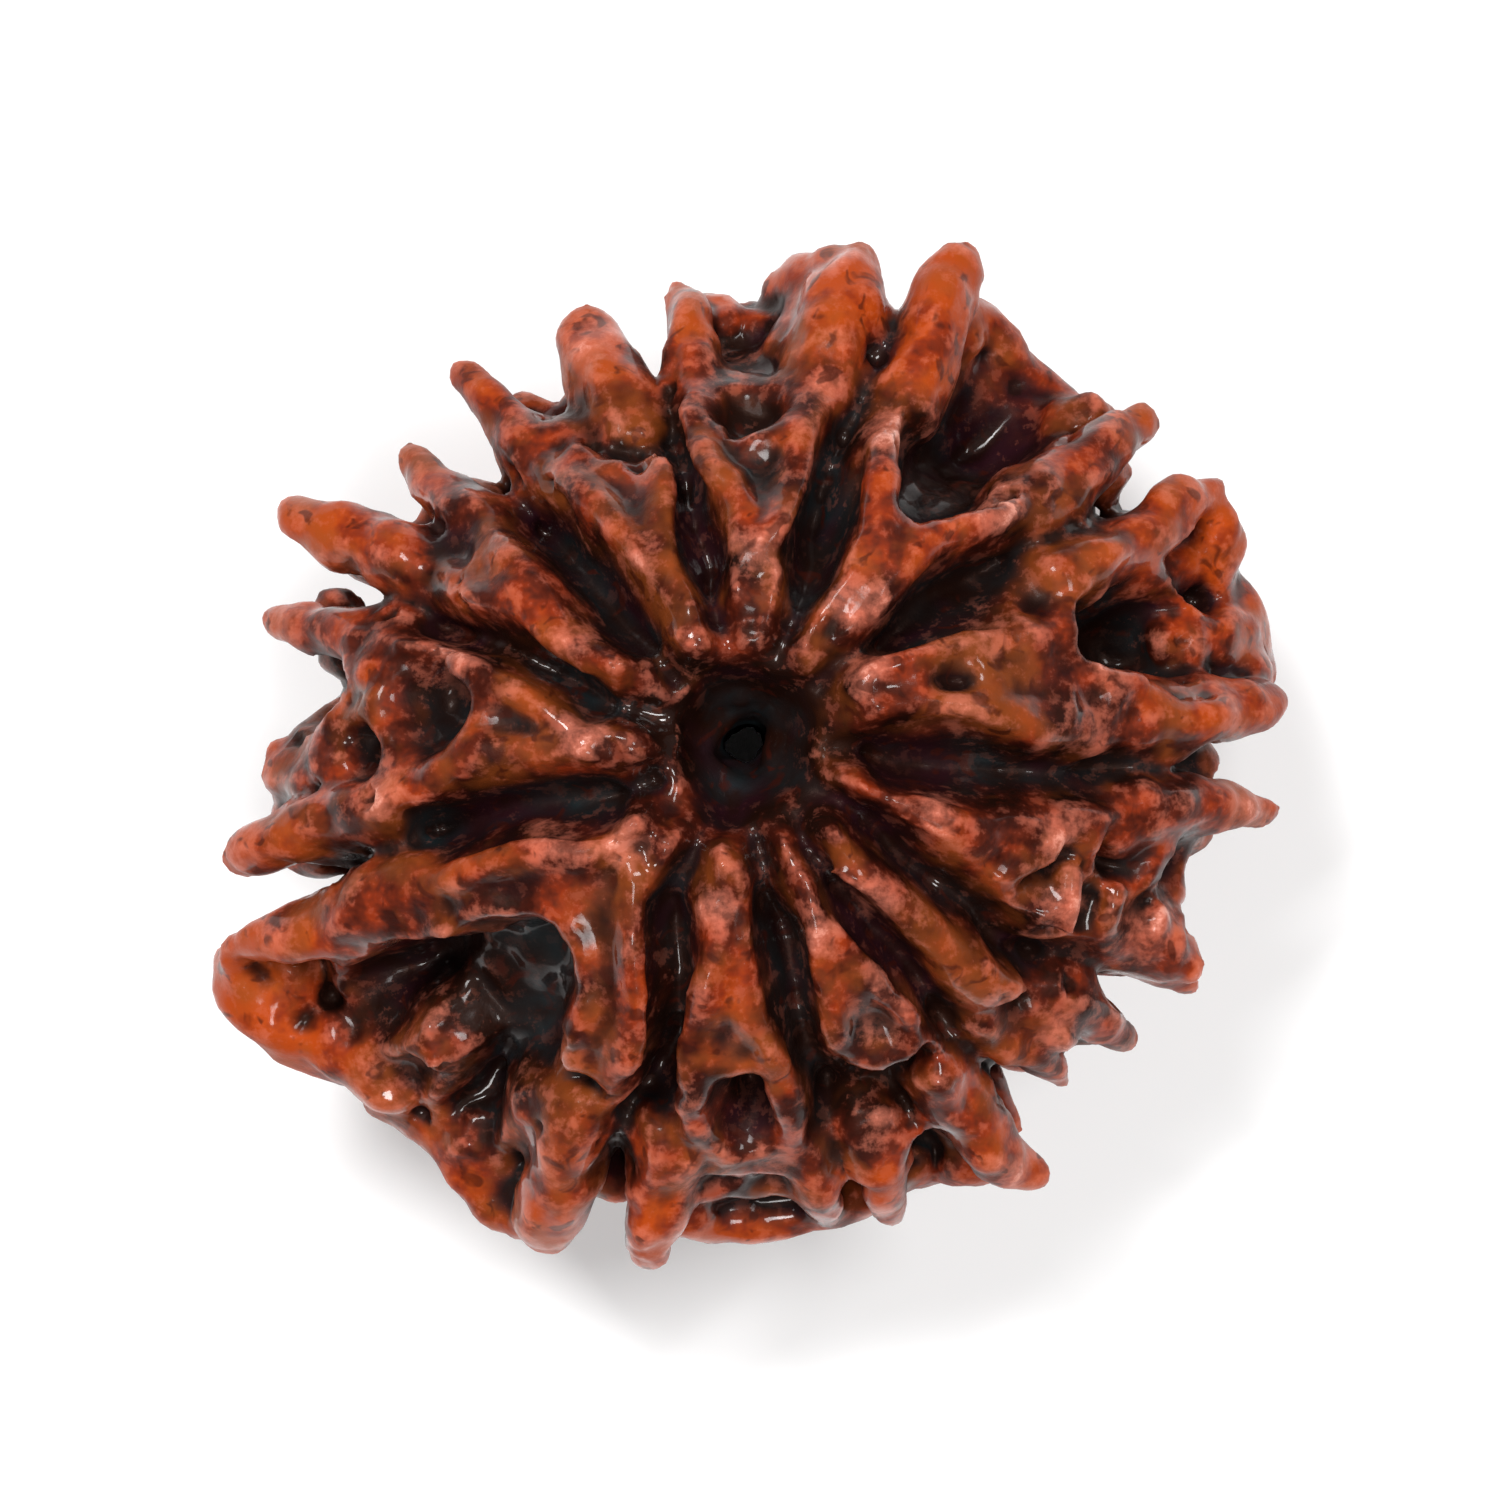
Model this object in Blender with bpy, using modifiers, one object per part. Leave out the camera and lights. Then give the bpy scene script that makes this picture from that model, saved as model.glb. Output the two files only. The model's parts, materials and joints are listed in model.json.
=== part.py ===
"""A rudraksha bead: the ridged stone of the fruit, with eleven clefts running from pole to pole.

The bead lies on its lower pole, with the thread canal upright. Angles are in degrees about the canal,
anticlockwise from +X seen from above. Polar angles run from 0 at the upper pole to 180 at the lower one.
"""

import math
import random

import bmesh
import bpy
import numpy as np
from mathutils import Vector, noise

MM = 0.001
NAME = "bead"

# Driving sizes of the stone, at the tops of its crests.
CREST_RADIUS = 11.7 * MM
CREST_HALF_HEIGHT = 10.3 * MM
BOXINESS = 0.92
LEAN = 0.078
LEAN_ANGLE = 298.0
OVAL = 0.057
OVAL_ANGLE = 28.0

# The canal and the dished pit round each of its mouths.
CANAL_RADIUS = 0.9 * MM
PIT_RADIUS = 3.7 * MM
PIT_DEPTH = 3.4 * MM
FLAT_DEPTH = 0.36 * MM

# Relief of the crests and clefts.
CLEFT_DEPTH = 2.3 * MM
SADDLE_DEPTH = 0.8 * MM
SADDLE_START = 2.8 * MM
CLEFT_HALF_WIDTH = 0.62 * MM
WALL_SOFTNESS = 0.34 * MM
CREST_HOLLOW = 0.22 * MM
WAVER = 0.26 * MM
WAVER_SCALE = 2.4 * MM
KNOBBLE = 0.34 * MM
KNOBBLE_SCALE = 1.5 * MM

# How far thorns below the rim may reach beyond the crest surface's widest.
THORN_SHELTER = 0.1 * MM

# Where the second row of thorns stands.
UNDER_THORN_POLAR = 102.0

# How much taller than wide a limb is at its root.
THORN_FIN = 1.6
WALL_FIN = 1.5
FLANK_FIN = 1.3

# Fineness of the surface.
STEPS_AROUND = 320
ROWS = 150
CANAL_ROWS = 24
VOXEL = 0.29 * MM
MOST_TRIANGLES = 11400

SEED = 11

# Each cleft on the upper face, from the pit out to the rim, as (distance from the axis in mm, the
# angle of its right edge, the angle of its left edge).
CLEFTS = {
    "a": [(3.9, 345, 368), (5.2, 346, 366), (6.5, 346, 362), (7.8, 349, 359), (9.1, 351, 358.5),
          (10.4, 353, 358), (11.7, 356, 360)],
    "b": [(4.3, 35, 42), (5.2, 27, 42), (6.5, 26, 43), (7.8, 27, 41), (9.1, 30, 37), (10.4, 31.5, 38),
          (11.7, 31.5, 36)],
    "c": [(4.3, 63, 73), (5.2, 61, 77), (6.5, 63, 77), (7.8, 67, 75.5), (9.1, 68.5, 74),
          (10.4, 69.5, 73.5), (11.3, 70, 73)],
    "d": [(4.1, 97, 104), (5.2, 94, 107), (6.5, 98, 107), (7.8, 99.5, 105.5), (9.1, 100.5, 106.5),
          (10.2, 101, 105)],
    "e": [(3.9, 124, 141), (5.2, 123, 141), (6.5, 125, 138), (7.8, 127.5, 137), (9.1, 129.5, 136),
          (9.7, 130.5, 135.5)],
    "f": [(4.0, 157, 170), (5.2, 152, 164), (6.5, 153, 161), (7.8, 154.5, 160.5), (9.1, 155.5, 161),
          (10.4, 157, 160.5), (11.0, 157.5, 160.5)],
    "g": [(4.1, 190, 212), (5.2, 188, 207), (6.5, 188, 203), (7.8, 189.5, 201), (9.1, 191.5, 201),
          (10.4, 194.5, 201), (11.0, 196, 201)],
    "h": [(4.7, 239, 252), (5.2, 241, 256), (6.5, 247, 259.5), (7.8, 249.5, 259.5), (9.1, 251.5, 259.5),
          (10.4, 251, 258), (11.7, 252, 257)],
    "i": [(3.9, 275, 287), (5.2, 275, 288), (6.5, 276, 287), (7.8, 278, 285.5), (9.1, 280.5, 286.5),
          (10.4, 281.5, 289), (11.7, 281.5, 285)],
    "j": [(4.6, 298, 308), (5.2, 298.5, 308), (6.5, 300.5, 310), (7.8, 303, 309.5), (9.1, 304, 309.5),
          (10.4, 304, 310.5), (11.0, 306.5, 310.5)],
    "k": [(4.0, 322, 336), (5.2, 321, 333), (6.5, 321, 330), (7.8, 321, 328), (9.1, 320.5, 327.5),
          (10.4, 321.5, 328.5), (11.2, 324.5, 328.5)],
}

# Hollows in the ribs' upper faces, as (depth in mm, points given in the same way).
HOLLOWS = [
    (0.9, [(5.7, 9, 20)]),
    (1.0, [(8.6, 22, 32)]),
    (2.8, [(9.8, 13, 22), (10.9, 9.5, 24), (11.6, 8.5, 20)]),
    (2.6, [(7.8, 48, 57), (8.6, 45, 60), (9.6, 44, 62), (10.6, 44.5, 62), (11.4, 46, 59)]),
    (0.9, [(8.7, 82, 94)]),
    (0.6, [(10.3, 74, 79)]),
    (1.6, [(10.5, 86, 94)]),
    (1.6, [(8.7, 101, 116)]),
    (1.6, [(9.5, 116, 122), (10.1, 117, 122)]),
    (0.8, [(8.9, 145, 152)]),
    (1.2, [(9.6, 142, 147), (10.2, 143, 147)]),
    (1.8, [(8.2, 163, 181)]),
    (2.2, [(9.9, 177.5, 184.5)]),
    (1.5, [(11.3, 184, 189)]),
    (2.6, [(7.7, 219, 232), (8.6, 215, 236), (9.8, 212, 240)]),
    (3.0, [(10.6, 210.5, 222), (12.0, 210, 219)]),
    (2.4, [(10.6, 226, 240), (11.2, 228, 236), (12.3, 231, 237)]),
    (1.3, [(10.2, 240, 250)]),
    (2.2, [(9.2, 266, 275), (9.8, 266.5, 275)]),
    (1.0, [(11.3, 265, 268)]),
    (1.0, [(11.4, 272, 276)]),
    (1.6, [(9.9, 283, 303)]),
    (1.3, [(11.3, 292, 297), (12.0, 291.5, 296)]),
    (0.8, [(10.1, 311, 320)]),
    (1.3, [(11.3, 315, 319), (11.9, 315, 319)]),
    (1.0, [(8.4, 333, 343)]),
    (0.8, [(9.8, 329, 340)]),
    (1.6, [(10.2, 340, 350)]),
    (1.2, [(11.6, 341, 346)]),
]

# Grooves that run on down the flank inside a rib: (depth in mm, angle, half width in mm, polar angles).
FLANK_GROOVES = [
    (2.6, 171.0, 0.75, 74, 120),
    (0.9, 120.0, 0.45, 84, 125),
    (1.0, 144.5, 0.45, 80, 122),
    (1.2, 92.0, 0.40, 84, 120),
    (1.3, 317.0, 0.40, 86, 120),
    (2.0, 343.0, 0.65, 80, 118),
]

# Thorns of the rim: (root angle, root distance, tip angle, tip distance, tip height, root radius, tip radius).
THORNS = [
    (28, 9.6, 29.6, 14.3, 1.8, 1.2, 0.50),
    (21, 12.3, 22.0, 14.3, 0.8, 1.0, 0.60),
    (12, 12.2, 12.5, 14.0, 0.6, 1.0, 0.60),
    (3, 10.4, 4.5, 14.2, 1.4, 1.3, 0.75),
    (41, 9.8, 40.0, 13.7, 2.2, 1.1, 0.70),
    (65, 9.6, 66.3, 14.1, 2.4, 1.1, 0.72),
    (78, 9.6, 77.0, 13.5, 2.0, 1.2, 1.00),
    (82, 10.4, 82.5, 12.7, 1.2, 1.0, 0.70),
    (87, 10.6, 87.0, 12.2, 1.2, 0.8, 0.45),
    (98, 9.4, 99.0, 12.3, 1.6, 1.0, 0.55),
    (109, 9.2, 110.3, 12.0, 2.4, 1.1, 0.75),
    (122, 9.0, 126.3, 12.2, 1.8, 0.9, 0.50),
    (140, 9.0, 137.2, 11.8, 1.6, 0.9, 0.32),
    (149, 9.4, 152.0, 13.3, 2.0, 1.0, 0.72),
    (162, 9.6, 164.5, 13.2, 0.8, 0.8, 0.30),
    (182, 10.6, 184.5, 12.3, 1.0, 1.2, 0.85),
    (189, 9.4, 192.2, 13.7, 1.6, 1.1, 0.70),
    (204, 9.0, 202.0, 14.4, 1.6, 1.1, 0.60),
    (244, 10.6, 247.3, 14.3, 0.6, 1.4, 0.90),
    (260, 10.4, 259.6, 14.0, 1.0, 1.1, 0.60),
    (278, 10.6, 280.0, 12.7, 1.4, 1.0, 0.55),
    (288, 10.4, 287.6, 13.2, 1.0, 0.9, 0.50),
    (301, 10.2, 304.8, 13.8, 1.2, 1.2, 0.50),
    (313, 9.6, 313.6, 12.2, 1.8, 0.8, 0.28),
    (321, 10.6, 323.2, 13.0, 1.0, 0.8, 0.28),
    (335, 10.8, 332.0, 13.5, 1.0, 1.3, 0.40),
    (348, 10.2, 352.6, 14.2, 1.2, 1.1, 0.32),
]

# Outer walls that join thorns round a hollow, and the sills under them, as
# [(angle, distance from the axis, height, radius), ...] in mm.
WALLS = [
    [(29, 13.7, 1.0, 0.75), (22, 13.9, 0.4, 0.8), (13, 13.3, 0.0, 0.85), (4, 13.6, 0.4, 0.8)],
    [(64, 12.4, 1.2, 0.7), (56, 12.4, 0.4, 0.75), (48, 12.3, 0.4, 0.75), (41, 12.5, 1.0, 0.7)],
    [(201, 13.9, 0.8, 0.8), (207, 14.1, 0.4, 0.85), (213, 13.9, 0.0, 0.9), (222, 13.1, -0.4, 0.85)],
    [(222, 13.1, -0.4, 0.85), (231, 12.6, -0.4, 0.75), (240, 13.2, 0.0, 0.8), (247, 13.7, 0.4, 0.9)],
    [(223, 10.6, 3.0, 0.7), (223, 13.0, 0.2, 0.8)],
    [(261, 12.6, 0.8, 0.6), (268, 12.4, 0.8, 0.6), (276, 12.4, 1.0, 0.6), (283, 12.5, 0.8, 0.6)],
    [(180, 11.7, 1.2, 0.6), (187, 12.1, 1.0, 0.6)],
    [(86, 11.0, 0.6, 0.7), (92, 10.6, 0.4, 0.7), (98, 11.0, 0.8, 0.7)],
    [(251, 11.6, 0.2, 0.7), (257, 11.7, 0.2, 0.7)],
    [(287, 12.2, 0.6, 0.6), (294, 12.0, 0.4, 0.6), (301, 12.4, 0.8, 0.6)],
    [(29, 11.6, -1.2, 1.5), (15, 12.1, -1.5, 1.7), (4, 12.0, -1.2, 1.5)],
    [(28.5, 12.8, -0.2, 1.0), (24, 13.1, -0.6, 1.0), (19, 13.0, -0.8, 0.9)],
    [(64, 11.0, -1.0, 1.3), (52, 11.3, -1.2, 1.4), (42, 11.3, -1.0, 1.3)],
    [(203, 12.2, -1.4, 1.6), (212, 12.3, -1.8, 1.8), (224, 11.8, -1.8, 1.5), (236, 11.6, -1.6, 1.4),
     (247, 12.1, -1.2, 1.5)],
]


def plan_share(angle):
    """How far the stone reaches at this angle, as a share of its mean radius."""
    lean = LEAN * np.cos(np.radians(angle - LEAN_ANGLE))
    return 1 + lean + OVAL * np.cos(2 * np.radians(angle - OVAL_ANGLE))


def crest_point(angle, polar):
    """The point of the crest surface at this angle and polar angle, both in degrees."""
    turn, tilt = np.radians(angle), np.radians(polar)
    reach = CREST_RADIUS * plan_share(angle) * np.abs(np.sin(tilt)) ** BOXINESS
    height = CREST_HALF_HEIGHT * np.sign(np.cos(tilt)) * np.abs(np.cos(tilt)) ** BOXINESS
    return np.stack([reach * np.cos(turn), reach * np.sin(turn), height + 0 * reach], axis=-1)


def polar_at(angle, distance):
    """The polar angle at which the upper crest surface is this far from the axis."""
    share = distance / (CREST_RADIUS * plan_share(angle))
    return math.degrees(math.asin(min(1.0, share) ** (1 / BOXINESS)))


def cylindrical(angle, distance, height):
    turn = math.radians(angle)
    return Vector((distance * math.cos(turn), distance * math.sin(turn), height))


def smooth_step(low, high, value):
    t = np.clip((value - low) / (high - low), 0, 1)
    return t * t * (3 - 2 * t)


def lower_cleft(rim_angle, even_angle, draw):
    """A cleft's way from the rim to the lower pole, drifting towards even spacing."""
    way = []
    for polar, drift in ((90, 0.0), (108, 0.05), (126, 0.15), (144, 0.3), (158, 0.4), (167, 0.4)):
        gap = (even_angle - rim_angle + 180) % 360 - 180
        wander = draw.uniform(-1.6, 1.6) if polar > 90 else 0.0
        way.append((rim_angle + gap * drift + wander, polar, CLEFT_HALF_WIDTH))
    return way


def edges_to_line(points):
    """Points given by distance and edge angles, as [(angle, polar angle, half width), ...]."""
    line = []
    for distance, right, left in points:
        angle = (right + left) / 2
        half = math.radians((left - right) / 2) * distance * MM
        line.append((angle, polar_at(angle, distance * MM), half))
    return line


def cleft_ways(draw):
    """Every cleft as [(angle, polar angle, half width), ...] from the upper pit to the lower one."""
    ways = []
    first = CLEFTS["a"][-1][1]
    for index, points in enumerate(CLEFTS.values()):
        upper = edges_to_line(points)
        even_angle = first + index * 360 / len(CLEFTS)
        ways.append(upper + lower_cleft(upper[-1][0], even_angle, draw))
    return ways


def angle_on(way, polar):
    """The angle of a cleft where it passes this polar angle."""
    polars = [point[1] for point in way]
    turns = np.unwrap(np.radians([point[0] for point in way]))
    return math.degrees(np.interp(polar, polars, turns))


def ribs_between(ways):
    """Each rib as (the cleft before it, the cleft after it)."""
    return list(zip(ways, ways[1:] + ways[:1]))


def across(rib, polar, share):
    """The angle that lies this share of the way across a rib, at a polar angle."""
    start = angle_on(rib[0], polar)
    width = (angle_on(rib[1], polar) - start) % 360
    return start + share * width


def lower_hollows(ribs, draw):
    """Hollows between the two crests of each rib, on its flank and its lower face."""
    hollows = []
    for rib in ribs:
        width = (angle_on(rib[1], 90) - angle_on(rib[0], 90)) % 360
        spread = 0.5 * math.radians(width) * CREST_RADIUS / MM
        for polar, size, depth in ((98, 0.34, 1.9), (113, 0.36, 2.0), (128, 0.34, 1.8), (141, 0.22, 1.3)):
            share = 0.5 + draw.uniform(-0.07, 0.07)
            place = polar + draw.uniform(-3, 3)
            narrowing = math.sin(math.radians(place))
            half = max(0.3, min(1.3, size * spread * narrowing - 0.1)) * draw.uniform(0.85, 1.1)
            end = place + draw.uniform(2, 7)
            points = [(across(rib, place, share), place, half * MM)]
            points.append((across(rib, end, share + draw.uniform(-0.05, 0.05)), end, 0.8 * half * MM))
            hollows.append((depth * draw.uniform(0.8, 1.15) * MM, points))
    return hollows


def carved_lines(ways, draw):
    """All that is sunk into the crest surface, as (depth, [(angle, polar angle, half width), ...])."""
    lines = [(CLEFT_DEPTH, way) for way in ways]
    for way in ways:
        angle, polar, half = way[0]
        lines.append((SADDLE_DEPTH, [(angle, polar_at(angle, SADDLE_START), 0.8 * half), (angle, polar, half)]))
    lines += [(depth * MM, edges_to_line(points)) for depth, points in HOLLOWS]
    for depth, angle, half, top, bottom in FLANK_GROOVES:
        lines.append((depth * MM, [(angle, polar, half * MM) for polar in (top, (top + bottom) / 2, bottom)]))
    return lines + lower_hollows(ribs_between(ways), draw)


def distance_outside(points, line):
    """Distance of each point from a line's edge, below zero within it."""
    corners = [(crest_point(angle, polar), half) for angle, polar, half in line]
    if len(corners) == 1:
        corners = corners * 2
    nearest = np.full(len(points), np.inf)
    for (start, half_start), (end, half_end) in zip(corners, corners[1:]):
        along = end - start
        length = max(along @ along, 1e-18)
        t = np.clip((points - start) @ along / length, 0, 1)
        gap = np.linalg.norm(points - start - t[:, None] * along, axis=1)
        nearest = np.minimum(nearest, gap - half_start - t * (half_end - half_start))
    return nearest


def wavered(points):
    """The points shifted a little each way by smooth noise, so that edges run unevenly."""
    shift = [noise.noise_vector(Vector(point) / WAVER_SCALE) for point in points]
    return points + WAVER * np.array(shift)


def sunk_depth(points, lines):
    """How far below the crest surface the stone lies at each point."""
    shifted = wavered(points)
    depth = np.zeros(len(points))
    clear = np.full(len(points), np.inf)
    for sink, line in lines:
        outside = distance_outside(shifted, line)
        wall = 1 - smooth_step(-WALL_SOFTNESS, WALL_SOFTNESS, outside)
        depth = np.maximum(depth, sink * wall)
        clear = np.minimum(clear, outside)
    hollow = CREST_HOLLOW * smooth_step(0.4 * MM, 1.1 * MM, clear)
    return depth + hollow + knobble(points)


def knobble(points):
    """Low folds and lumps, which grow from none round the pit to their full height at the rim."""
    lumps = np.array([noise.turbulence(Vector(point) / KNOBBLE_SCALE, 2, True) for point in points])
    reach = np.hypot(points[:, 0], points[:, 1])
    below = points[:, 2] < 0
    share = np.maximum(smooth_step(6 * MM, 9.5 * MM, reach), 0.6 * below * smooth_step(3 * MM, 6 * MM, reach))
    return KNOBBLE * share * (lumps - 0.5)


def pit_depth(points):
    """The dish round each mouth of the canal, deepest at the mouth."""
    reach = np.hypot(points[:, 0], points[:, 1])
    return PIT_DEPTH * (1 - smooth_step(CANAL_RADIUS, PIT_RADIUS, reach)) ** 1.2


def turned_body():
    """The stone without relief: its crest surface and canal, turned about the axis by a Screw modifier."""
    first = math.degrees(math.asin((CANAL_RADIUS / CREST_RADIUS) ** (1 / BOXINESS)))
    polars = np.linspace(first, 180 - first, ROWS)
    tilt = np.radians(polars)
    reach = CREST_RADIUS * np.sin(tilt) ** BOXINESS
    height = CREST_HALF_HEIGHT * np.sign(np.cos(tilt)) * np.abs(np.cos(tilt)) ** BOXINESS
    top = height[0] - PIT_DEPTH
    wall = np.linspace(-top, top, CANAL_ROWS)[1:-1]
    profile = [(x, 0, z) for x, z in zip(reach, height)]
    profile += [(CANAL_RADIUS, 0, z) for z in wall]
    mesh = bpy.data.meshes.new(NAME)
    count = len(profile)
    mesh.from_pydata(profile, [(i, (i + 1) % count) for i in range(count)], [])
    body = bpy.data.objects.new(NAME, mesh)
    screw = body.modifiers.new("turn", "SCREW")
    screw.steps = screw.render_steps = STEPS_AROUND
    screw.use_merge_vertices = True
    screw.merge_threshold = 0.00001
    return body


def as_mesh(body, collection):
    """The body with its modifiers applied."""
    collection.objects.link(body)
    bpy.context.view_layer.update()
    evaluated = body.evaluated_get(bpy.context.evaluated_depsgraph_get())
    mesh = bpy.data.meshes.new_from_object(evaluated)
    body.modifiers.clear()
    body.data = mesh


def raise_relief(body, lines):
    """Moves the turned body's points onto the crests, clefts, hollows and pits."""
    mesh = body.data
    points = np.empty(len(mesh.vertices) * 3)
    mesh.vertices.foreach_get("co", points)
    points = points.reshape(-1, 3)
    reach = np.hypot(points[:, 0], points[:, 1])
    on_canal = (reach < CANAL_RADIUS * 1.001) & (np.abs(points[:, 2]) < CREST_HALF_HEIGHT - PIT_DEPTH)
    angle = np.degrees(np.arctan2(points[:, 1], points[:, 0]))
    polar = np.degrees(np.arctan2(
        (reach / CREST_RADIUS) ** (1 / BOXINESS),
        np.sign(points[:, 2]) * (np.abs(points[:, 2]) / CREST_HALF_HEIGHT) ** (1 / BOXINESS)))
    crest = crest_point(angle, polar)
    inward = -crest / np.array([CREST_RADIUS, CREST_RADIUS, CREST_HALF_HEIGHT]) ** 2
    inward /= np.linalg.norm(inward, axis=1)[:, None]
    sunk = crest + inward * sunk_depth(crest, lines)[:, None]
    sunk[:, 2] -= np.sign(sunk[:, 2]) * pit_depth(crest)
    points = np.where(on_canal[:, None], points, sunk)
    mesh.vertices.foreach_set("co", points.ravel())
    mesh.update()


def spine_point(spine, t):
    """A point on a smooth curve through a spine's two or more points, with its radius."""
    steps = len(spine) - 1
    index = min(int(t * steps), steps - 1)
    u = t * steps - index
    before, start, end, after = (spine[max(0, min(steps, index + k))] for k in (-1, 0, 1, 2))
    place = 0.5 * (2 * start[0] + (end[0] - before[0]) * u
                   + (2 * before[0] - 5 * start[0] + 4 * end[0] - after[0]) * u * u
                   + (3 * start[0] - before[0] - 3 * end[0] + after[0]) * u ** 3)
    return place, start[1] + (end[1] - start[1]) * u


def add_limb(bm, spine, fin):
    """A ball drawn out along a spine of (point, radius). Its root is `fin` times taller than wide."""
    made = bmesh.ops.create_uvsphere(bm, u_segments=14, v_segments=16, radius=1.0)
    for vertex in made["verts"]:
        t = 0.5 * (vertex.co.z + 1)
        place, radius = spine_point(spine, t)
        ahead, _ = spine_point(spine, min(1.0, t + 0.02))
        behind, _ = spine_point(spine, max(0.0, t - 0.02))
        axis = (ahead - behind).normalized()
        side = Vector((0, 0, 1)).cross(axis).normalized()
        up = axis.cross(side)
        round_end = max(0.0, 1 - abs(2 * t - 1) ** 5) ** 0.5
        ring = vertex.co.xy.normalized() if vertex.co.xy.length > 1e-6 else Vector((0, 0))
        tall = 1 + (fin - 1) * (1 - t)
        vertex.co = place + radius * round_end * (side * ring.x + up * ring.y * tall)


def thorn_spine(root_angle, root_distance, tip_angle, tip_distance, tip_height, root_radius, tip_radius):
    """A thorn's spine, from inside the stone out along the crest to its tip, in metres."""
    polar = polar_at(root_angle, root_distance * MM)
    crest = Vector(crest_point(root_angle, polar))
    root = crest - crest.normalized() * (root_radius + 0.2) * MM
    tip = cylindrical(tip_angle, (tip_distance - 0.1) * MM, tip_height * MM)
    middle = root.lerp(tip, 0.55) + Vector((0, 0, 0.12)) * (tip - root).length
    mean = 0.45 * root_radius + 0.55 * tip_radius
    return [(root, root_radius * MM), (middle, mean * MM), (tip, tip_radius * MM)]


def wall_spine(wall):
    """A wall's spine in metres."""
    return [(cylindrical(angle, distance * MM, height * MM), radius * MM)
            for angle, distance, height, radius in wall]


def under_thorn_spine(thorn, draw):
    """The spine of a thorn that stands below one of the rim, a little shorter, so that the rim hides it."""
    _, _, tip_angle, tip_distance, _, root_radius, tip_radius = thorn
    angle = tip_angle + draw.uniform(-0.8, 0.8)
    crest = Vector(crest_point(angle, UNDER_THORN_POLAR + draw.uniform(-3, 3)))
    height = crest.z / MM - draw.uniform(0.0, 1.2)
    tip = cylindrical(angle, tip_distance * draw.uniform(0.88, 0.94) * MM, height * MM)
    root = crest * 0.86
    slim = draw.uniform(0.75, 0.95)
    middle = root.lerp(tip, 0.5)
    return [(root, slim * root_radius * MM),
            (middle, slim * (0.45 * root_radius + 0.5 * tip_radius) * MM),
            (tip, slim * max(tip_radius, 0.32) * MM)]


def flank_thorns(ribs, draw):
    """Spines of smaller thorns along both crests of each rib, below the rim."""
    spines = []
    for rib in ribs:
        for share in (0.22, 0.78):
            for polar, reach in ((116, 1.5), (129, 1.2), (140, 0.7)):
                place = polar + draw.uniform(-4, 4)
                angle = across(rib, place, share + draw.uniform(-0.04, 0.04))
                crest = Vector(crest_point(angle, place))
                out = Vector((crest.x / CREST_RADIUS, crest.y / CREST_RADIUS, crest.z / CREST_HALF_HEIGHT))
                out = (out.normalized() + Vector((0, 0, draw.uniform(-0.3, 0.15)))).normalized()
                radius = draw.uniform(0.7, 0.95) * MM
                tip = crest + out * reach * draw.uniform(0.6, 1.2) * MM
                most = CREST_RADIUS * plan_share(angle) + THORN_SHELTER
                if tip.xy.length > most:
                    tip.xy *= most / tip.xy.length
                root = crest - out * 1.2 * radius
                middle = root.lerp(tip, 0.5)
                spines.append([(root, radius), (middle, 0.75 * radius), (tip, 0.4 * radius)])
    return spines


def add_limbs(body, limbs):
    """Joins limbs, given as (fin, spine), to the body's mesh; the Remesh modifier fuses them."""
    bm = bmesh.new()
    for fin, spine in limbs:
        add_limb(bm, spine, fin)
    bm.from_mesh(body.data)
    bm.to_mesh(body.data)
    bm.free()


def fuse(body):
    """Fuses body and limbs in one even skin, then spends the triangles where the form bends most."""
    remesh = body.modifiers.new("fuse", "REMESH")
    remesh.mode = "VOXEL"
    remesh.voxel_size = VOXEL
    bpy.context.view_layer.update()
    evaluated = body.evaluated_get(bpy.context.evaluated_depsgraph_get())
    skin = evaluated.to_mesh()
    triangles = sum(len(face.vertices) - 2 for face in skin.polygons)
    evaluated.to_mesh_clear()
    soften = body.modifiers.new("soften", "SMOOTH")
    soften.factor = 0.5
    soften.iterations = 2
    thin = body.modifiers.new("thin", "DECIMATE")
    thin.ratio = MOST_TRIANGLES / triangles


def stand(body):
    """Sets the middle of the bead's outline over the origin, and its lowest crests just under the floor."""
    bpy.context.view_layer.update()
    evaluated = body.evaluated_get(bpy.context.evaluated_depsgraph_get())
    corners = [Vector(corner) for corner in evaluated.bound_box]
    low = Vector(min(corner[axis] for corner in corners) for axis in range(3))
    high = Vector(max(corner[axis] for corner in corners) for axis in range(3))
    middle = (low + high) / 2
    body.location = (-middle.x, -middle.y, -low.z - FLAT_DEPTH)


def flat_spots(body, helpers):
    """Cuts the lowest crests level, so that the bead rests on them."""
    bm = bmesh.new()
    bmesh.ops.create_cube(bm, size=1.0)
    mesh = bpy.data.meshes.new("ground_cutter")
    bm.to_mesh(mesh)
    bm.free()
    cutter = bpy.data.objects.new("ground_cutter", mesh)
    depth = 4 * MM
    cutter.scale = (3 * CREST_RADIUS, 3 * CREST_RADIUS, depth)
    cutter.location = (0, 0, -depth / 2)
    cutter.hide_render = True
    cutter.display_type = "WIRE"
    helpers.objects.link(cutter)
    cut = body.modifiers.new("flat_spots", "BOOLEAN")
    cut.operation = "DIFFERENCE"
    cut.object = cutter


def seed_coat():
    """Oiled red-brown shell."""
    material = bpy.data.materials.new("seed_coat")
    material.use_nodes = True
    shader = material.node_tree.nodes["Principled BSDF"]
    shader.inputs["Base Color"].default_value = (0.27, 0.062, 0.022, 1)
    shader.inputs["Roughness"].default_value = 0.38
    shader.inputs["Metallic"].default_value = 0.0
    return material


def new_collection(name):
    collection = bpy.data.collections.new(name)
    bpy.context.scene.collection.children.link(collection)
    return collection


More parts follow.
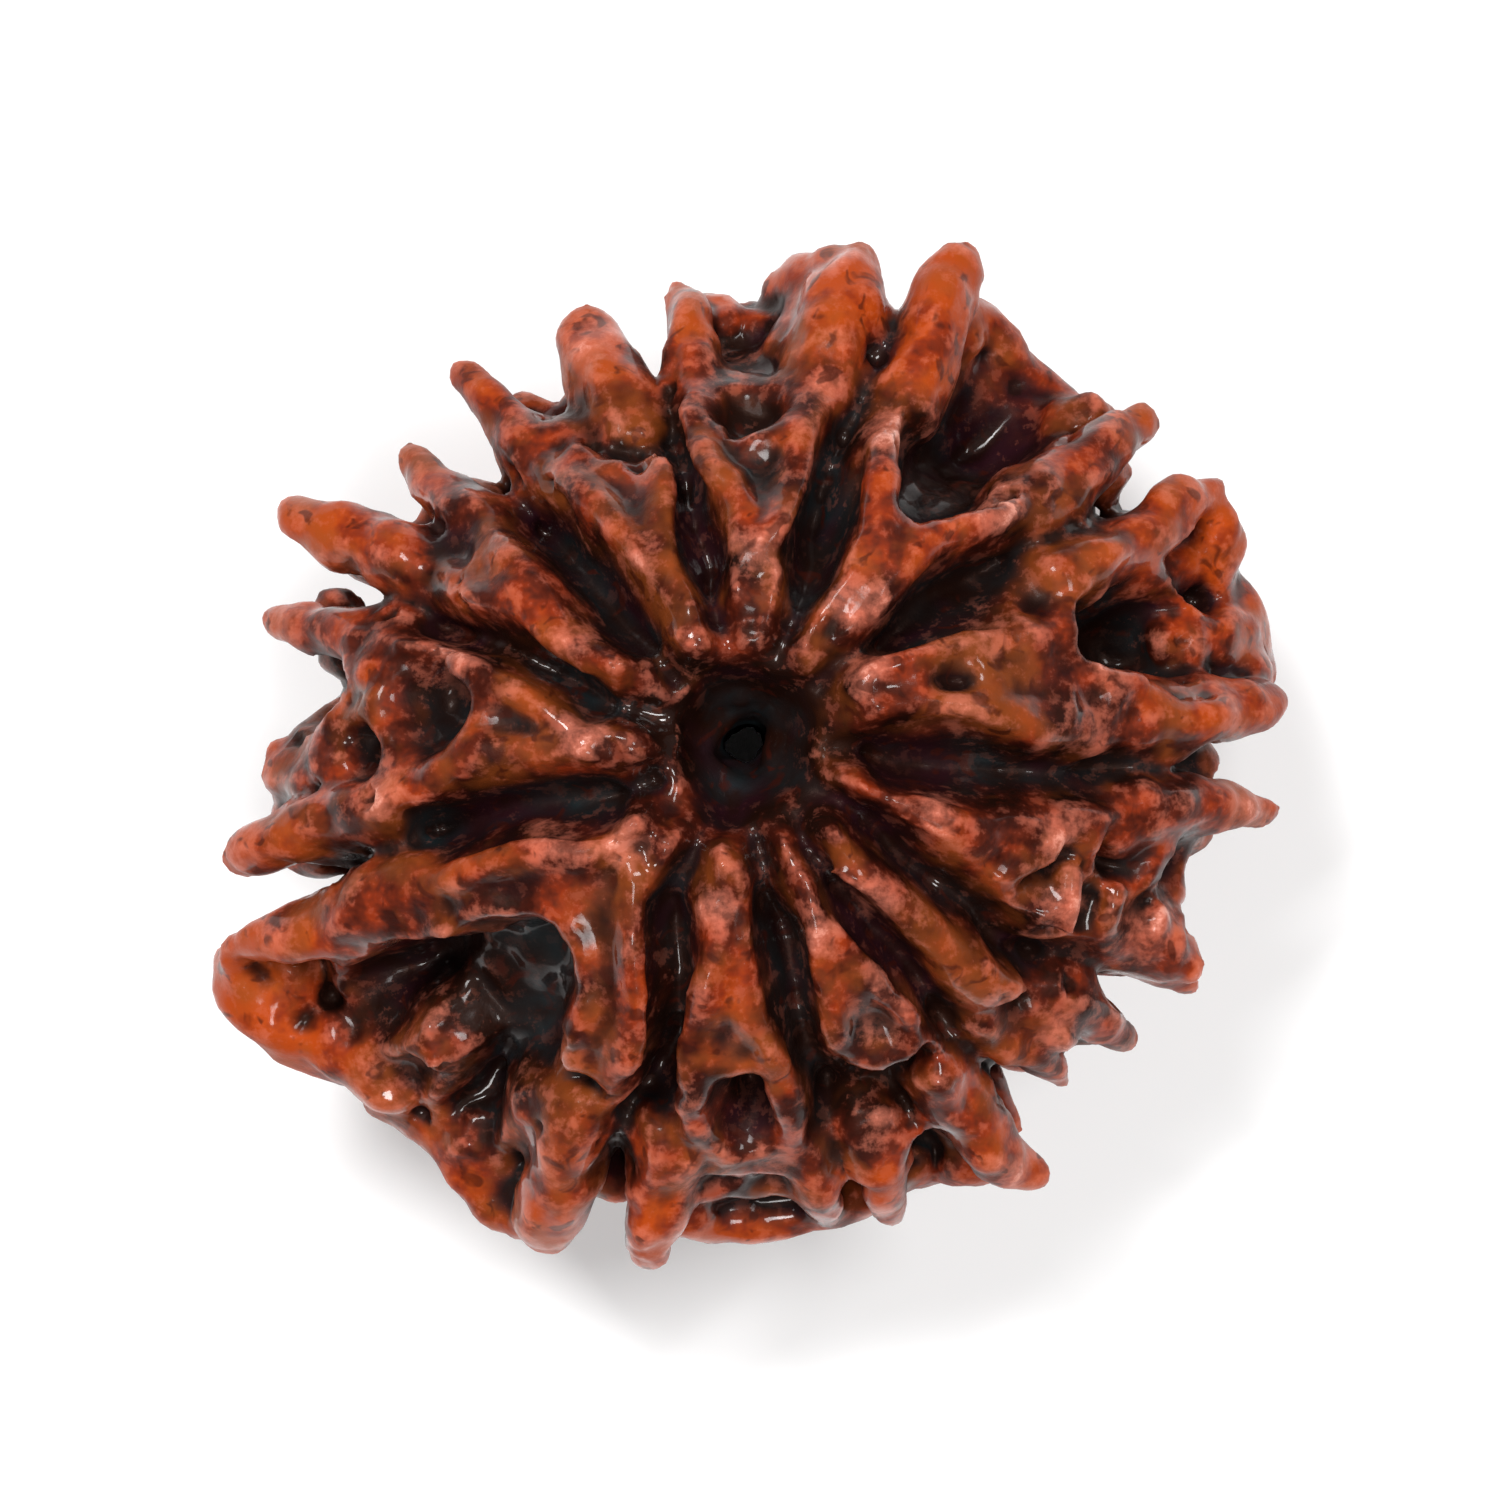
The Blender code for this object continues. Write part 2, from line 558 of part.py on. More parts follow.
def main():
    for obj in list(bpy.data.objects):
        bpy.data.objects.remove(obj)
    parts = new_collection("rudraksha_bead")
    helpers = new_collection("helpers")
    draw = random.Random(SEED)

    ways = cleft_ways(draw)
    lines = carved_lines(ways, draw)
    limbs = [(THORN_FIN, thorn_spine(*thorn)) for thorn in THORNS]
    limbs += [(WALL_FIN, wall_spine(wall)) for wall in WALLS]
    limbs += [(THORN_FIN, under_thorn_spine(thorn, draw)) for thorn in THORNS]
    limbs += [(FLANK_FIN, spine) for spine in flank_thorns(ribs_between(ways), draw)]

    body = turned_body()
    as_mesh(body, parts)
    raise_relief(body, lines)
    add_limbs(body, limbs)
    fuse(body)
    stand(body)
    flat_spots(body, helpers)
    body.data.materials.append(seed_coat())
    body.data.shade_smooth()


main()
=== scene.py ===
# %% [markdown]
# # A rudraksha bead
# The bead is the stone of one fruit. Eleven ribs run from pole to pole, with a dark cleft between each
# pair, and they end in thorns round the rim. A canal for the thread goes through it from pole to pole.
# This lesson makes the stone in one skin: a turned body is carved by a formula, thorns are drawn out of
# it, all is fused, and the finish is painted by where the surface lies high, low, sharp or hollow.
#
# First the imported model comes in as the frame.

# %% The frame
import json
import math
import random

import bpy
import numpy as np
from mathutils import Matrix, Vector, noise

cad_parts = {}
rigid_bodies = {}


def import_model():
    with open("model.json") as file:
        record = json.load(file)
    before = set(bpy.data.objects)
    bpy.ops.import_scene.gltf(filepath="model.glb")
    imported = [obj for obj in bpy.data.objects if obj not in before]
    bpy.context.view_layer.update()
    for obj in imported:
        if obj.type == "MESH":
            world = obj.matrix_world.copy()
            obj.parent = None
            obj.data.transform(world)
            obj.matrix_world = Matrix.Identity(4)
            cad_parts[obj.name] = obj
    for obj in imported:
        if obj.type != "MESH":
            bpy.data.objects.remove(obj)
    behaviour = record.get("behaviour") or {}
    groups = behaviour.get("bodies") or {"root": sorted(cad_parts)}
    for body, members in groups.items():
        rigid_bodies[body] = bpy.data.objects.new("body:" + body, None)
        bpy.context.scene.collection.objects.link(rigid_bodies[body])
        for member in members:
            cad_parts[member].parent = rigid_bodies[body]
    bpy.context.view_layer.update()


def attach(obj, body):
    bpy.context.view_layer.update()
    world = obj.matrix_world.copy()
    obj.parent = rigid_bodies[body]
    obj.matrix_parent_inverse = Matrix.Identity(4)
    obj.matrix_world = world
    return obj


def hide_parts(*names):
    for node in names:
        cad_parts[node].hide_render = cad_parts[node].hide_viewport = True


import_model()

# %% [markdown]
# ## The shape without relief
# The stone is a squat, slightly boxy ball, a bit oval and leaning to one side. One function gives the
# point of its crest surface, the level of the rib tops, for an angle round the canal and a polar angle.
# Everything else is placed by it, so that clefts, hollows and thorns stay on the stone when it changes.

# %% Driving sizes
MM = 0.001
# At the tops of the crests: from the axis to the rim, and from the rim to a pole.
CREST_RADIUS = 11.7 * MM
CREST_HALF_HEIGHT = 10.3 * MM
# One is an ellipse's section, and less is boxier.
BOXINESS = 0.92
# Shares of the radius, and the angles, ccw from +X, towards which the stone leans and is long.
LEAN = 0.078
LEAN_ANGLE = 298.0
OVAL = 0.057
OVAL_ANGLE = 28.0
print("a stone about", round(2 * CREST_RADIUS / MM, 1), "mm wide without its thorns")

# %% The crest surface
def plan_share(angle):
    """How far the stone reaches at this angle, as a share of its mean radius."""
    lean = LEAN * np.cos(np.radians(angle - LEAN_ANGLE))
    return 1 + lean + OVAL * np.cos(2 * np.radians(angle - OVAL_ANGLE))


def crest_point(angle, polar):
    """The point of the crest surface at this angle and polar angle, both in degrees."""
    turn, tilt = np.radians(angle), np.radians(polar)
    reach = CREST_RADIUS * plan_share(angle) * np.abs(np.sin(tilt)) ** BOXINESS
    height = CREST_HALF_HEIGHT * np.sign(np.cos(tilt)) * np.abs(np.cos(tilt)) ** BOXINESS
    return np.stack([reach * np.cos(turn), reach * np.sin(turn), height + 0 * reach], axis=-1)


def polar_at(angle, distance):
    """The polar angle at which the upper crest surface is this far from the axis."""
    share = distance / (CREST_RADIUS * plan_share(angle))
    return math.degrees(math.asin(min(1.0, share) ** (1 / BOXINESS)))


def cylindrical(angle, distance, height):
    turn = math.radians(angle)
    return Vector((distance * math.cos(turn), distance * math.sin(turn), height))


def smooth_step(low, high, value):
    t = np.clip((value - low) / (high - low), 0, 1)
    return t * t * (3 - 2 * t)


widest = float(np.max(crest_point(np.arange(360.0), 90.0)) / MM)
print("the crests reach", round(widest, 1), "mm from the canal")

# %% [markdown]
# ## Where the clefts and hollows run
# On the fruit, each cleft is the seam between two seed chambers, and hollows lie in the ribs between.
# Such relief could be sculpted by hand. Here a cleft is a line with a width at each of its points, because
# lines in numbers are easy to move. On the upper face the points follow the photo, and from the rim down
# the line wanders to the lower pole with seeded draws, because no photo shows it.

# %% Clefts of the upper face
# Each cleft on the upper face, from the pit out to the rim, as (distance from the axis in mm, the
# angle of its right edge, the angle of its left edge).
CLEFTS = {
    "a": [(3.9, 345, 368), (5.2, 346, 366), (6.5, 346, 362), (7.8, 349, 359), (9.1, 351, 358.5),
          (10.4, 353, 358), (11.7, 356, 360)],
    "b": [(4.3, 35, 42), (5.2, 27, 42), (6.5, 26, 43), (7.8, 27, 41), (9.1, 30, 37), (10.4, 31.5, 38),
          (11.7, 31.5, 36)],
    "c": [(4.3, 63, 73), (5.2, 61, 77), (6.5, 63, 77), (7.8, 67, 75.5), (9.1, 68.5, 74),
          (10.4, 69.5, 73.5), (11.3, 70, 73)],
    "d": [(4.1, 97, 104), (5.2, 94, 107), (6.5, 98, 107), (7.8, 99.5, 105.5), (9.1, 100.5, 106.5),
          (10.2, 101, 105)],
    "e": [(3.9, 124, 141), (5.2, 123, 141), (6.5, 125, 138), (7.8, 127.5, 137), (9.1, 129.5, 136),
          (9.7, 130.5, 135.5)],
    "f": [(4.0, 157, 170), (5.2, 152, 164), (6.5, 153, 161), (7.8, 154.5, 160.5), (9.1, 155.5, 161),
          (10.4, 157, 160.5)],
    "g": [(4.1, 190, 212), (5.2, 188, 207), (6.5, 188, 203), (7.8, 189.5, 201), (9.1, 191.5, 201),
          (10.4, 194.5, 201), (11.0, 196, 201)],
    "h": [(4.7, 240, 252), (5.2, 243, 256), (6.5, 249.5, 260), (7.8, 252, 260.5), (9.1, 252.5, 260),
          (10.4, 251, 258), (11.7, 252, 257)],
    "i": [(3.9, 275, 287), (5.2, 275, 288), (6.5, 276, 287), (7.8, 278, 285.5), (9.1, 280.5, 286.5),
          (10.4, 281.5, 289), (11.7, 281.5, 285)],
    "j": [(4.6, 298, 308), (5.2, 298.5, 308), (6.5, 300.5, 310), (7.8, 303, 309.5), (9.1, 304, 309.5),
          (10.4, 304, 310.5), (11.0, 306.5, 310.5)],
    "k": [(4.0, 322, 336), (5.2, 321, 333), (6.5, 321, 330), (7.8, 321, 328), (9.1, 320.5, 327.5),
          (10.4, 321.5, 328.5), (11.2, 324.5, 328.5)],
}
print(len(CLEFTS), "clefts on the upper face")

# %% Hollows and grooves
# Hollows in the ribs' upper faces, as (depth in mm, points given in the same way).
HOLLOWS = [
    (0.9, [(5.7, 9, 20)]),
    (1.0, [(8.6, 22, 32)]),
    (2.8, [(9.8, 13, 22), (10.9, 9.5, 24), (11.6, 8.5, 20)]),
    (2.6, [(7.8, 48, 57), (8.6, 45, 60), (9.6, 44, 62), (10.6, 44.5, 62), (11.4, 46, 59)]),
    (0.9, [(8.7, 82, 94)]),
    (0.6, [(10.3, 74, 79)]),
    (1.6, [(10.5, 86, 94)]),
    (1.6, [(8.7, 101, 116)]),
    (1.6, [(9.5, 116, 122), (10.1, 117, 122)]),
    (0.8, [(8.9, 145, 152)]),
    (1.2, [(9.6, 142, 147), (10.2, 143, 147)]),
    (1.8, [(8.2, 163, 181)]),
    (2.2, [(9.9, 177.5, 184.5)]),
    (1.5, [(11.3, 184, 189)]),
    (2.6, [(7.7, 219, 232), (8.6, 215, 236), (9.8, 212, 240)]),
    (3.0, [(10.6, 210.5, 222), (12.0, 210, 219)]),
    (2.4, [(10.6, 226, 240), (11.2, 228, 236), (12.3, 231, 237)]),
    (1.3, [(10.2, 240, 250)]),
    (2.2, [(9.2, 266, 275), (9.8, 266.5, 275)]),
    (1.0, [(11.3, 265, 268)]),
    (1.0, [(11.4, 272, 276)]),
    (1.6, [(9.9, 283, 303)]),
    (1.3, [(11.3, 292, 297), (12.0, 291.5, 296)]),
    (0.8, [(10.1, 311, 320)]),
    (1.3, [(11.3, 315, 319), (11.9, 315, 319)]),
    (1.0, [(8.4, 333, 343)]),
    (0.8, [(9.8, 329, 340)]),
    (1.6, [(10.2, 340, 350)]),
    (1.2, [(11.6, 341, 346)]),
]

# Grooves that run on down the flank inside a rib: (depth in mm, angle, half width in mm, polar angles).
FLANK_GROOVES = [
    (3.0, 171.0, 1.1, 72, 120),
    (0.9, 120.0, 0.45, 84, 125),
    (1.0, 144.5, 0.45, 80, 122),
    (1.2, 92.0, 0.40, 84, 120),
    (1.3, 317.0, 0.40, 86, 120),
    (2.0, 343.0, 0.65, 80, 118),
]
print(len(HOLLOWS), "hollows and", len(FLANK_GROOVES), "grooves")

# %% How deep and steep they are
CLEFT_DEPTH = 2.3 * MM
CLEFT_HALF_WIDTH = 0.62 * MM
# Where a cleft meets the pit, the ground sinks between two ribs.
SADDLE_DEPTH = 2.0 * MM
SADDLE_START = 2.5 * MM
# A wall rises from its foot, inside the edge, to its top, outside it.
CLEFT_WALL = (-0.60 * MM, 0.44 * MM)
HOLLOW_WALL = (-0.60 * MM, 0.46 * MM)
SEED = 11
# Without this, noise vectors would start from the clock, and each run would differ.
noise.seed_set(SEED)
print("clefts are", CLEFT_DEPTH / MM, "mm deep")


# %% Ways of the clefts
def lower_cleft(rim_angle, even_angle, draw):
    """A cleft's way from the rim to the lower pole, drifting towards even spacing."""
    way = []
    for polar, drift in ((90, 0.0), (108, 0.05), (126, 0.15), (144, 0.3), (158, 0.4), (167, 0.4)):
        gap = (even_angle - rim_angle + 180) % 360 - 180
        wander = draw.uniform(-1.6, 1.6) if polar > 90 else 0.0
        way.append((rim_angle + gap * drift + wander, polar, CLEFT_HALF_WIDTH))
    return way


def edges_to_line(points):
    """Points given by distance and edge angles, as [(angle, polar angle, half width), ...]."""
    line = []
    for distance, right, left in points:
        angle = (right + left) / 2
        half = math.radians((left - right) / 2) * distance * MM
        line.append((angle, polar_at(angle, distance * MM), half))
    return line


def cleft_ways(draw):
    """Every cleft as [(angle, polar angle, half width), ...] from the upper pit to the lower one."""
    ways = []
    first = CLEFTS["a"][-1][1]
    for index, points in enumerate(CLEFTS.values()):
        upper = edges_to_line(points)
        even_angle = first + index * 360 / len(CLEFTS)
        ways.append(upper + lower_cleft(upper[-1][0], even_angle, draw))
    return ways


# %% Across a rib
def angle_on(way, polar):
    """The angle of a cleft where it passes this polar angle."""
    polars = [point[1] for point in way]
    turns = np.unwrap(np.radians([point[0] for point in way]))
    return math.degrees(np.interp(polar, polars, turns))


def ribs_between(ways):
    """Each rib as (the cleft before it, the cleft after it)."""
    return list(zip(ways, ways[1:] + ways[:1]))


def across(rib, polar, share):
    """The angle that lies this share of the way across a rib, at a polar angle."""
    start = angle_on(rib[0], polar)
    width = (angle_on(rib[1], polar) - start) % 360
    return start + share * width


# %% Hollows below the rim
def lower_hollows(ribs, draw):
    """Hollows between the two crests of each rib, on its flank and its lower face."""
    hollows = []
    for rib in ribs:
        width = (angle_on(rib[1], 90) - angle_on(rib[0], 90)) % 360
        spread = 0.5 * math.radians(width) * CREST_RADIUS / MM
        for polar, size, depth in ((98, 0.34, 1.9), (113, 0.36, 2.0), (128, 0.34, 1.8), (141, 0.22, 1.3)):
            share = 0.5 + draw.uniform(-0.07, 0.07)
            place = polar + draw.uniform(-3, 3)
            narrowing = math.sin(math.radians(place))
            half = max(0.3, min(1.3, size * spread * narrowing - 0.1)) * draw.uniform(0.85, 1.1)
            end = place + draw.uniform(2, 7)
            points = [(across(rib, place, share), place, half * MM)]
            points.append((across(rib, end, share + draw.uniform(-0.05, 0.05)), end, 0.8 * half * MM))
            hollows.append((HOLLOW_WALL, depth * draw.uniform(0.8, 1.15) * MM, points))
    return hollows


# %% All carved lines
def carved_lines(ways, draw):
    """All that is sunk into the crest surface, as (wall, depth, [(angle, polar angle, half width), ...])."""
    lines = [(CLEFT_WALL, CLEFT_DEPTH, way) for way in ways]
    for way in ways:
        angle, polar, half = way[0]
        saddle = [(angle, polar_at(angle, SADDLE_START), 0.35 * half), (angle, polar, 0.8 * half)]
        lines.append((HOLLOW_WALL, SADDLE_DEPTH, saddle))
    lines += [(HOLLOW_WALL, depth * MM, edges_to_line(points)) for depth, points in HOLLOWS]
    for depth, angle, half, top, bottom in FLANK_GROOVES:
        groove = [(angle, polar, half * MM) for polar in (top, (top + bottom) / 2, bottom)]
        lines.append((HOLLOW_WALL, depth * MM, groove))
    return lines + lower_hollows(ribs_between(ways), draw)


draw = random.Random(SEED)
ways = cleft_ways(draw)
lines = carved_lines(ways, draw)
print(len(ways), "clefts and", len(lines) - len(ways), "other hollows")

# %% [markdown]
# ## Carving
# How deep the stone lies below its crest surface is the deepest of all the lines there, each with soft
# walls. Smooth noise shifts the points first, so that no edge runs straight, and adds folds and lumps.
# One sum for the depth, and not one cut for each line, keeps the skin whole.

# %% Distance from a carved line
def distance_outside(points, line):
    """Distance of each point from a line's edge, below zero within it."""
    corners = [(crest_point(angle, polar), half) for angle, polar, half in line]
    if len(corners) == 1:
        corners = corners * 2
    nearest = np.full(len(points), np.inf)
    for (start, half_start), (end, half_end) in zip(corners, corners[1:]):
        along = end - start
        length = max(along @ along, 1e-18)
        t = np.clip((points - start) @ along / length, 0, 1)
        gap = np.linalg.norm(points - start - t[:, None] * along, axis=1)
        nearest = np.minimum(nearest, gap - half_start - t * (half_end - half_start))
    return nearest


# %% Uneven edges and low lumps
WAVER = 0.26 * MM
WAVER_SCALE = 2.4 * MM
KNOBBLE = 0.34 * MM
KNOBBLE_SCALE = 1.5 * MM


def wavered(points):
    """The points shifted a little each way by smooth noise, so that edges run unevenly."""
    shift = [noise.noise_vector(Vector(point) / WAVER_SCALE) for point in points]
    return points + WAVER * np.array(shift)


def knobble(points):
    """Low folds and lumps, which grow from none round the pit to their full height at the rim."""
    lumps = np.array([noise.turbulence(Vector(point) / KNOBBLE_SCALE, 2, True) for point in points])
    reach = np.hypot(points[:, 0], points[:, 1])
    below = points[:, 2] < 0
    share = np.maximum(smooth_step(6 * MM, 9.5 * MM, reach), 0.6 * below * smooth_step(3 * MM, 6 * MM, reach))
    return KNOBBLE * share * (lumps - 0.5)


# %% Depth at any point
# How far the middle of a broad crest sinks between its edges.
CREST_HOLLOW = 0.32 * MM


def sunk_depth(points, lines):
    """How far below the crest surface the stone lies at each point."""
    shifted = wavered(points)
    depth = np.zeros(len(points))
    clear = np.full(len(points), np.inf)
    for (foot, top), sink, line in lines:
        outside = distance_outside(shifted, line)
        wall = 1 - smooth_step(foot, top, outside)
        depth = np.maximum(depth, sink * wall)
        clear = np.minimum(clear, outside)
    hollow = CREST_HOLLOW * smooth_step(0.35 * MM, 1.2 * MM, clear)
    return depth + hollow + knobble(points)


# %% The pits
PIT_RADIUS = 3.5 * MM
PIT_DEPTH = 3.4 * MM
PIT_LUMP = 0.65 * MM
# Sizes of the noise that makes the pit's edge ragged and its floor lumpy.
RAGGED_SCALE = 1.5 * MM
LUMP_SCALE = 1.0 * MM
CANAL_RADIUS = 0.9 * MM


def pit_depth(points):
    """The dish round each mouth of the canal, deepest at the mouth."""
    reach = np.hypot(points[:, 0], points[:, 1])
    near = points[reach < 2 * PIT_RADIUS]
    ragged = np.zeros(len(points))
    lumpy = np.zeros(len(points))
    ragged[reach < 2 * PIT_RADIUS] = [noise.noise(Vector(point) / RAGGED_SCALE) for point in near]
    lumpy[reach < 2 * PIT_RADIUS] = [noise.noise(Vector(point) / LUMP_SCALE) for point in near]
    edge = PIT_RADIUS * (1 + 0.26 * ragged)
    dish = PIT_DEPTH * (1 - smooth_step(0.6 * CANAL_RADIUS, edge, reach)) ** 1.2
    return dish + PIT_LUMP * lumpy * (1 - smooth_step(3 * MM, 4.5 * MM, reach))


print("pits of", round(2 * PIT_RADIUS / MM, 1), "mm round a canal of", round(2 * CANAL_RADIUS / MM, 1), "mm")

# %% [markdown]
# ## The turned body
# The stone has one hole through it, as a torus has. So a torus primitive is added, and each of its points
# is moved: the outer part of every ring onto the stone, and the inner part onto the canal's wall.
# Working from a torus needs no hole cut later, and its even rings take the relief well.

# %% A torus for the body
STEPS_AROUND = 256
SECTION_STEPS = 146
# The share of each ring's points that go to the canal's wall, and the rings' middle.
CANAL_SHARE = 0.14
RING = 6 * MM

bpy.ops.object.select_all(action="DESELECT")
bpy.ops.mesh.primitive_torus_add(major_segments=STEPS_AROUND, minor_segments=SECTION_STEPS,
                                 major_radius=RING, minor_radius=0.5 * RING)
stone = bpy.context.object
stone.name = "rudraksha_stone"
stone.data.name = "rudraksha_stone"
bpy.ops.object.mode_set(mode="EDIT")
bpy.ops.mesh.select_all(action="SELECT")
bpy.ops.mesh.subdivide(number_cuts=1)
bpy.ops.object.mode_set(mode="OBJECT")
print("the torus has", len(stone.data.vertices), "points")


# %% Read and write points
def points_of(mesh):
    """All the points of a mesh as rows of x, y and z."""
    points = np.empty(len(mesh.vertices) * 3)
    mesh.vertices.foreach_get("co", points)
    return points.reshape(-1, 3)


def set_points(mesh, points):
    mesh.vertices.foreach_set("co", np.ravel(points))
    mesh.update()


# %% The stone's outside
points = points_of(stone.data)
angle = np.degrees(np.arctan2(points[:, 1], points[:, 0]))
section = np.arctan2(points[:, 2], np.hypot(points[:, 0], points[:, 1]) - RING) / math.pi
outer = 1 - CANAL_SHARE
first = math.degrees(math.asin((CANAL_RADIUS / CREST_RADIUS) ** (1 / BOXINESS)))
polar = 90 - (90 - first) * np.clip(section / outer, -1, 1)
crest = crest_point(angle, polar)
inward = -crest / np.array([CREST_RADIUS, CREST_RADIUS, CREST_HALF_HEIGHT]) ** 2
inward /= np.linalg.norm(inward, axis=1)[:, None]
carved = crest + inward * sunk_depth(crest, lines)[:, None]
carved[:, 2] -= np.sign(carved[:, 2]) * pit_depth(crest)
print("carved to", round(float(np.max(sunk_depth(crest, lines)) / MM), 2), "mm below the crests")

# %% The canal's wall
canal_end = CREST_HALF_HEIGHT - PIT_DEPTH
canal = np.abs(section) > outer
climb = np.sign(section) * (1 - np.abs(section)) / CANAL_SHARE * canal_end
turn = np.radians(angle)
wall = np.stack([CANAL_RADIUS * np.cos(turn), CANAL_RADIUS * np.sin(turn), climb], axis=1)
placed = np.where(canal[:, None], wall, carved)
print(int(np.sum(canal)), "points on the canal's wall")

# %% Ragged mouths
# How far the pits' walls are drawn in at the canal, about.
MOUTH_RAGGED = 0.46 * MM

mouth = np.hypot(placed[:, 0], placed[:, 1]) < 1.6 * CANAL_RADIUS
inner = placed[mouth]
tight = np.array([0.6 + noise.noise(Vector(point) / (0.9 * MM)) for point in inner])
tight *= MOUTH_RAGGED * smooth_step(2 * MM, 5 * MM, np.abs(inner[:, 2]))
reach = np.hypot(inner[:, 0], inner[:, 1])
tight *= 1 - smooth_step(CANAL_RADIUS, 1.6 * CANAL_RADIUS, reach)
placed[mouth, :2] *= (1 - tight / reach)[:, None]
set_points(stone.data, placed)
print(len(inner), "points drawn in at the mouths")

# %% [markdown]
# ## Thorns, walls and strands
# The ribs end in thorns, some of them joined by walls round a hollow, and thin strands and nubs stand on the
# ribs' edges. Each could be extruded from the body by hand, but there are some hundreds. So each is drawn
# out of a sphere: a smooth curve, its spine, runs from inside the stone to the tip, and the sphere's rings
# slide along it, each with the radius that the limb has there. The roots stand inside the stone, where they
# are fused later. One sphere is modelled and copied for all of them.

# %% Thorns of the rim
# Each as (root angle, root distance, tip angle, tip distance, tip height, root radius, tip radius), angles in
# degrees and the rest in mm.
THORNS = [
    (28, 9.6, 29.0, 14.3, 1.8, 1.2, 0.50),
    (22, 12.3, 23.0, 14.0, 0.8, 1.0, 0.60),
    (12, 12.2, 12.5, 13.8, 0.6, 1.0, 0.60),
    (3, 10.4, 4.5, 14.2, 1.4, 1.3, 0.75),
    (40, 9.8, 38.9, 13.6, 2.2, 1.2, 0.70),
    (64.5, 10.3, 65.5, 14.2, 2.4, 1.2, 0.80),
    (78, 9.6, 77.0, 13.2, 2.0, 1.3, 1.15),
    (82, 10.4, 81.8, 12.5, 1.4, 1.1, 0.90),
    (87, 10.6, 87.0, 12.2, 1.2, 0.8, 0.45),
    (97, 9.4, 97.9, 12.3, 1.6, 1.0, 0.54),
    (109.5, 9.2, 110.9, 12.0, 2.2, 1.45, 0.88),
    (122.6, 9.0, 127.0, 12.2, 1.8, 1.2, 0.60),
    (141, 9.0, 138.8, 11.8, 1.6, 1.25, 0.36),
    (149.8, 9.4, 152.9, 13.2, 2.0, 1.1, 0.84),
    (162.5, 9.6, 164.8, 13.0, 0.8, 0.95, 0.50),
    (182, 10.6, 184.5, 12.3, 1.0, 1.2, 0.85),
    (189, 9.4, 192.4, 13.7, 1.6, 1.1, 0.78),
    (204, 9.0, 202.6, 14.5, 1.6, 1.1, 0.60),
    (244.5, 10.6, 248.3, 14.3, 0.6, 1.4, 0.90),
    (260, 10.4, 259.3, 14.0, 1.0, 1.1, 0.64),
    (278, 10.6, 280.0, 12.7, 1.4, 1.0, 0.55),
    (288, 10.4, 287.6, 13.2, 1.0, 0.9, 0.50),
    (299.7, 10.2, 303.5, 13.9, 1.2, 1.2, 0.50),
    (313, 9.6, 313.6, 12.2, 1.6, 1.0, 0.36),
    (320.4, 10.4, 322.8, 13.0, 1.0, 1.15, 0.36),
    (335, 10.8, 332.0, 13.5, 1.0, 1.3, 0.40),
    (349, 10.2, 353.4, 14.2, 1.2, 1.2, 0.42),
]
print(len(THORNS), "thorns on the rim")

# %% Walls
# Outer walls that join thorns round a hollow, and the sills under them, as
# [(angle, distance from the axis, height, radius), ...] in mm.
WALLS = [
    [(29.5, 13.6, 1.7, 0.85), (25, 13.5, 1.5, 0.8), (19, 13.1, 0.9, 0.8), (12.5, 13.2, 0.3, 0.95),
     (4, 13.5, 0.7, 0.9)],
    [(64, 12.4, 1.2, 0.7), (56, 12.3, 0.4, 0.75), (48, 11.9, 0.4, 0.75), (41, 12.4, 1.0, 0.7)],
    [(201, 13.9, 0.8, 0.95), (207, 14.2, 0.6, 0.95), (213, 13.8, 0.3, 1.0), (222, 13.0, -0.2, 1.0)],
    [(222, 13.0, -0.2, 1.0), (231, 12.5, -0.2, 0.95), (240, 13.0, 0.2, 0.95), (247, 13.8, 0.5, 0.95)],
    [(222, 11.9, 1.2, 0.8), (223, 13.0, 0.2, 0.8)],
    [(261, 12.6, 0.8, 0.6), (268, 12.4, 0.8, 0.6), (276, 12.4, 1.0, 0.6), (283, 12.5, 0.8, 0.6)],
    [(180, 11.7, 1.2, 0.6), (187, 12.1, 1.0, 0.6)],
    [(86, 11.0, 0.6, 0.7), (92, 10.6, 0.4, 0.7), (98, 11.0, 0.8, 0.7)],
    [(251, 11.6, 0.2, 0.7), (257, 11.7, 0.2, 0.7)],
    [(287, 12.2, 0.6, 0.6), (294, 12.0, 0.4, 0.6), (301, 12.4, 0.8, 0.6)],
    [(29, 11.6, -1.2, 1.5), (15, 12.1, -1.5, 1.7), (4, 12.0, -1.2, 1.5)],
    [(28.5, 12.8, -0.2, 1.0), (24, 13.1, -0.6, 1.0), (19, 13.0, -0.8, 0.9)],
    [(64, 11.0, -1.0, 1.3), (52, 11.3, -1.2, 1.4), (42, 11.3, -1.0, 1.3)],
    [(203, 12.2, -1.4, 1.6), (212, 12.3, -1.8, 1.8), (224, 11.8, -1.8, 1.5), (236, 11.6, -1.6, 1.4),
     (247, 12.1, -1.2, 1.5)],
]
print(len(WALLS), "walls")

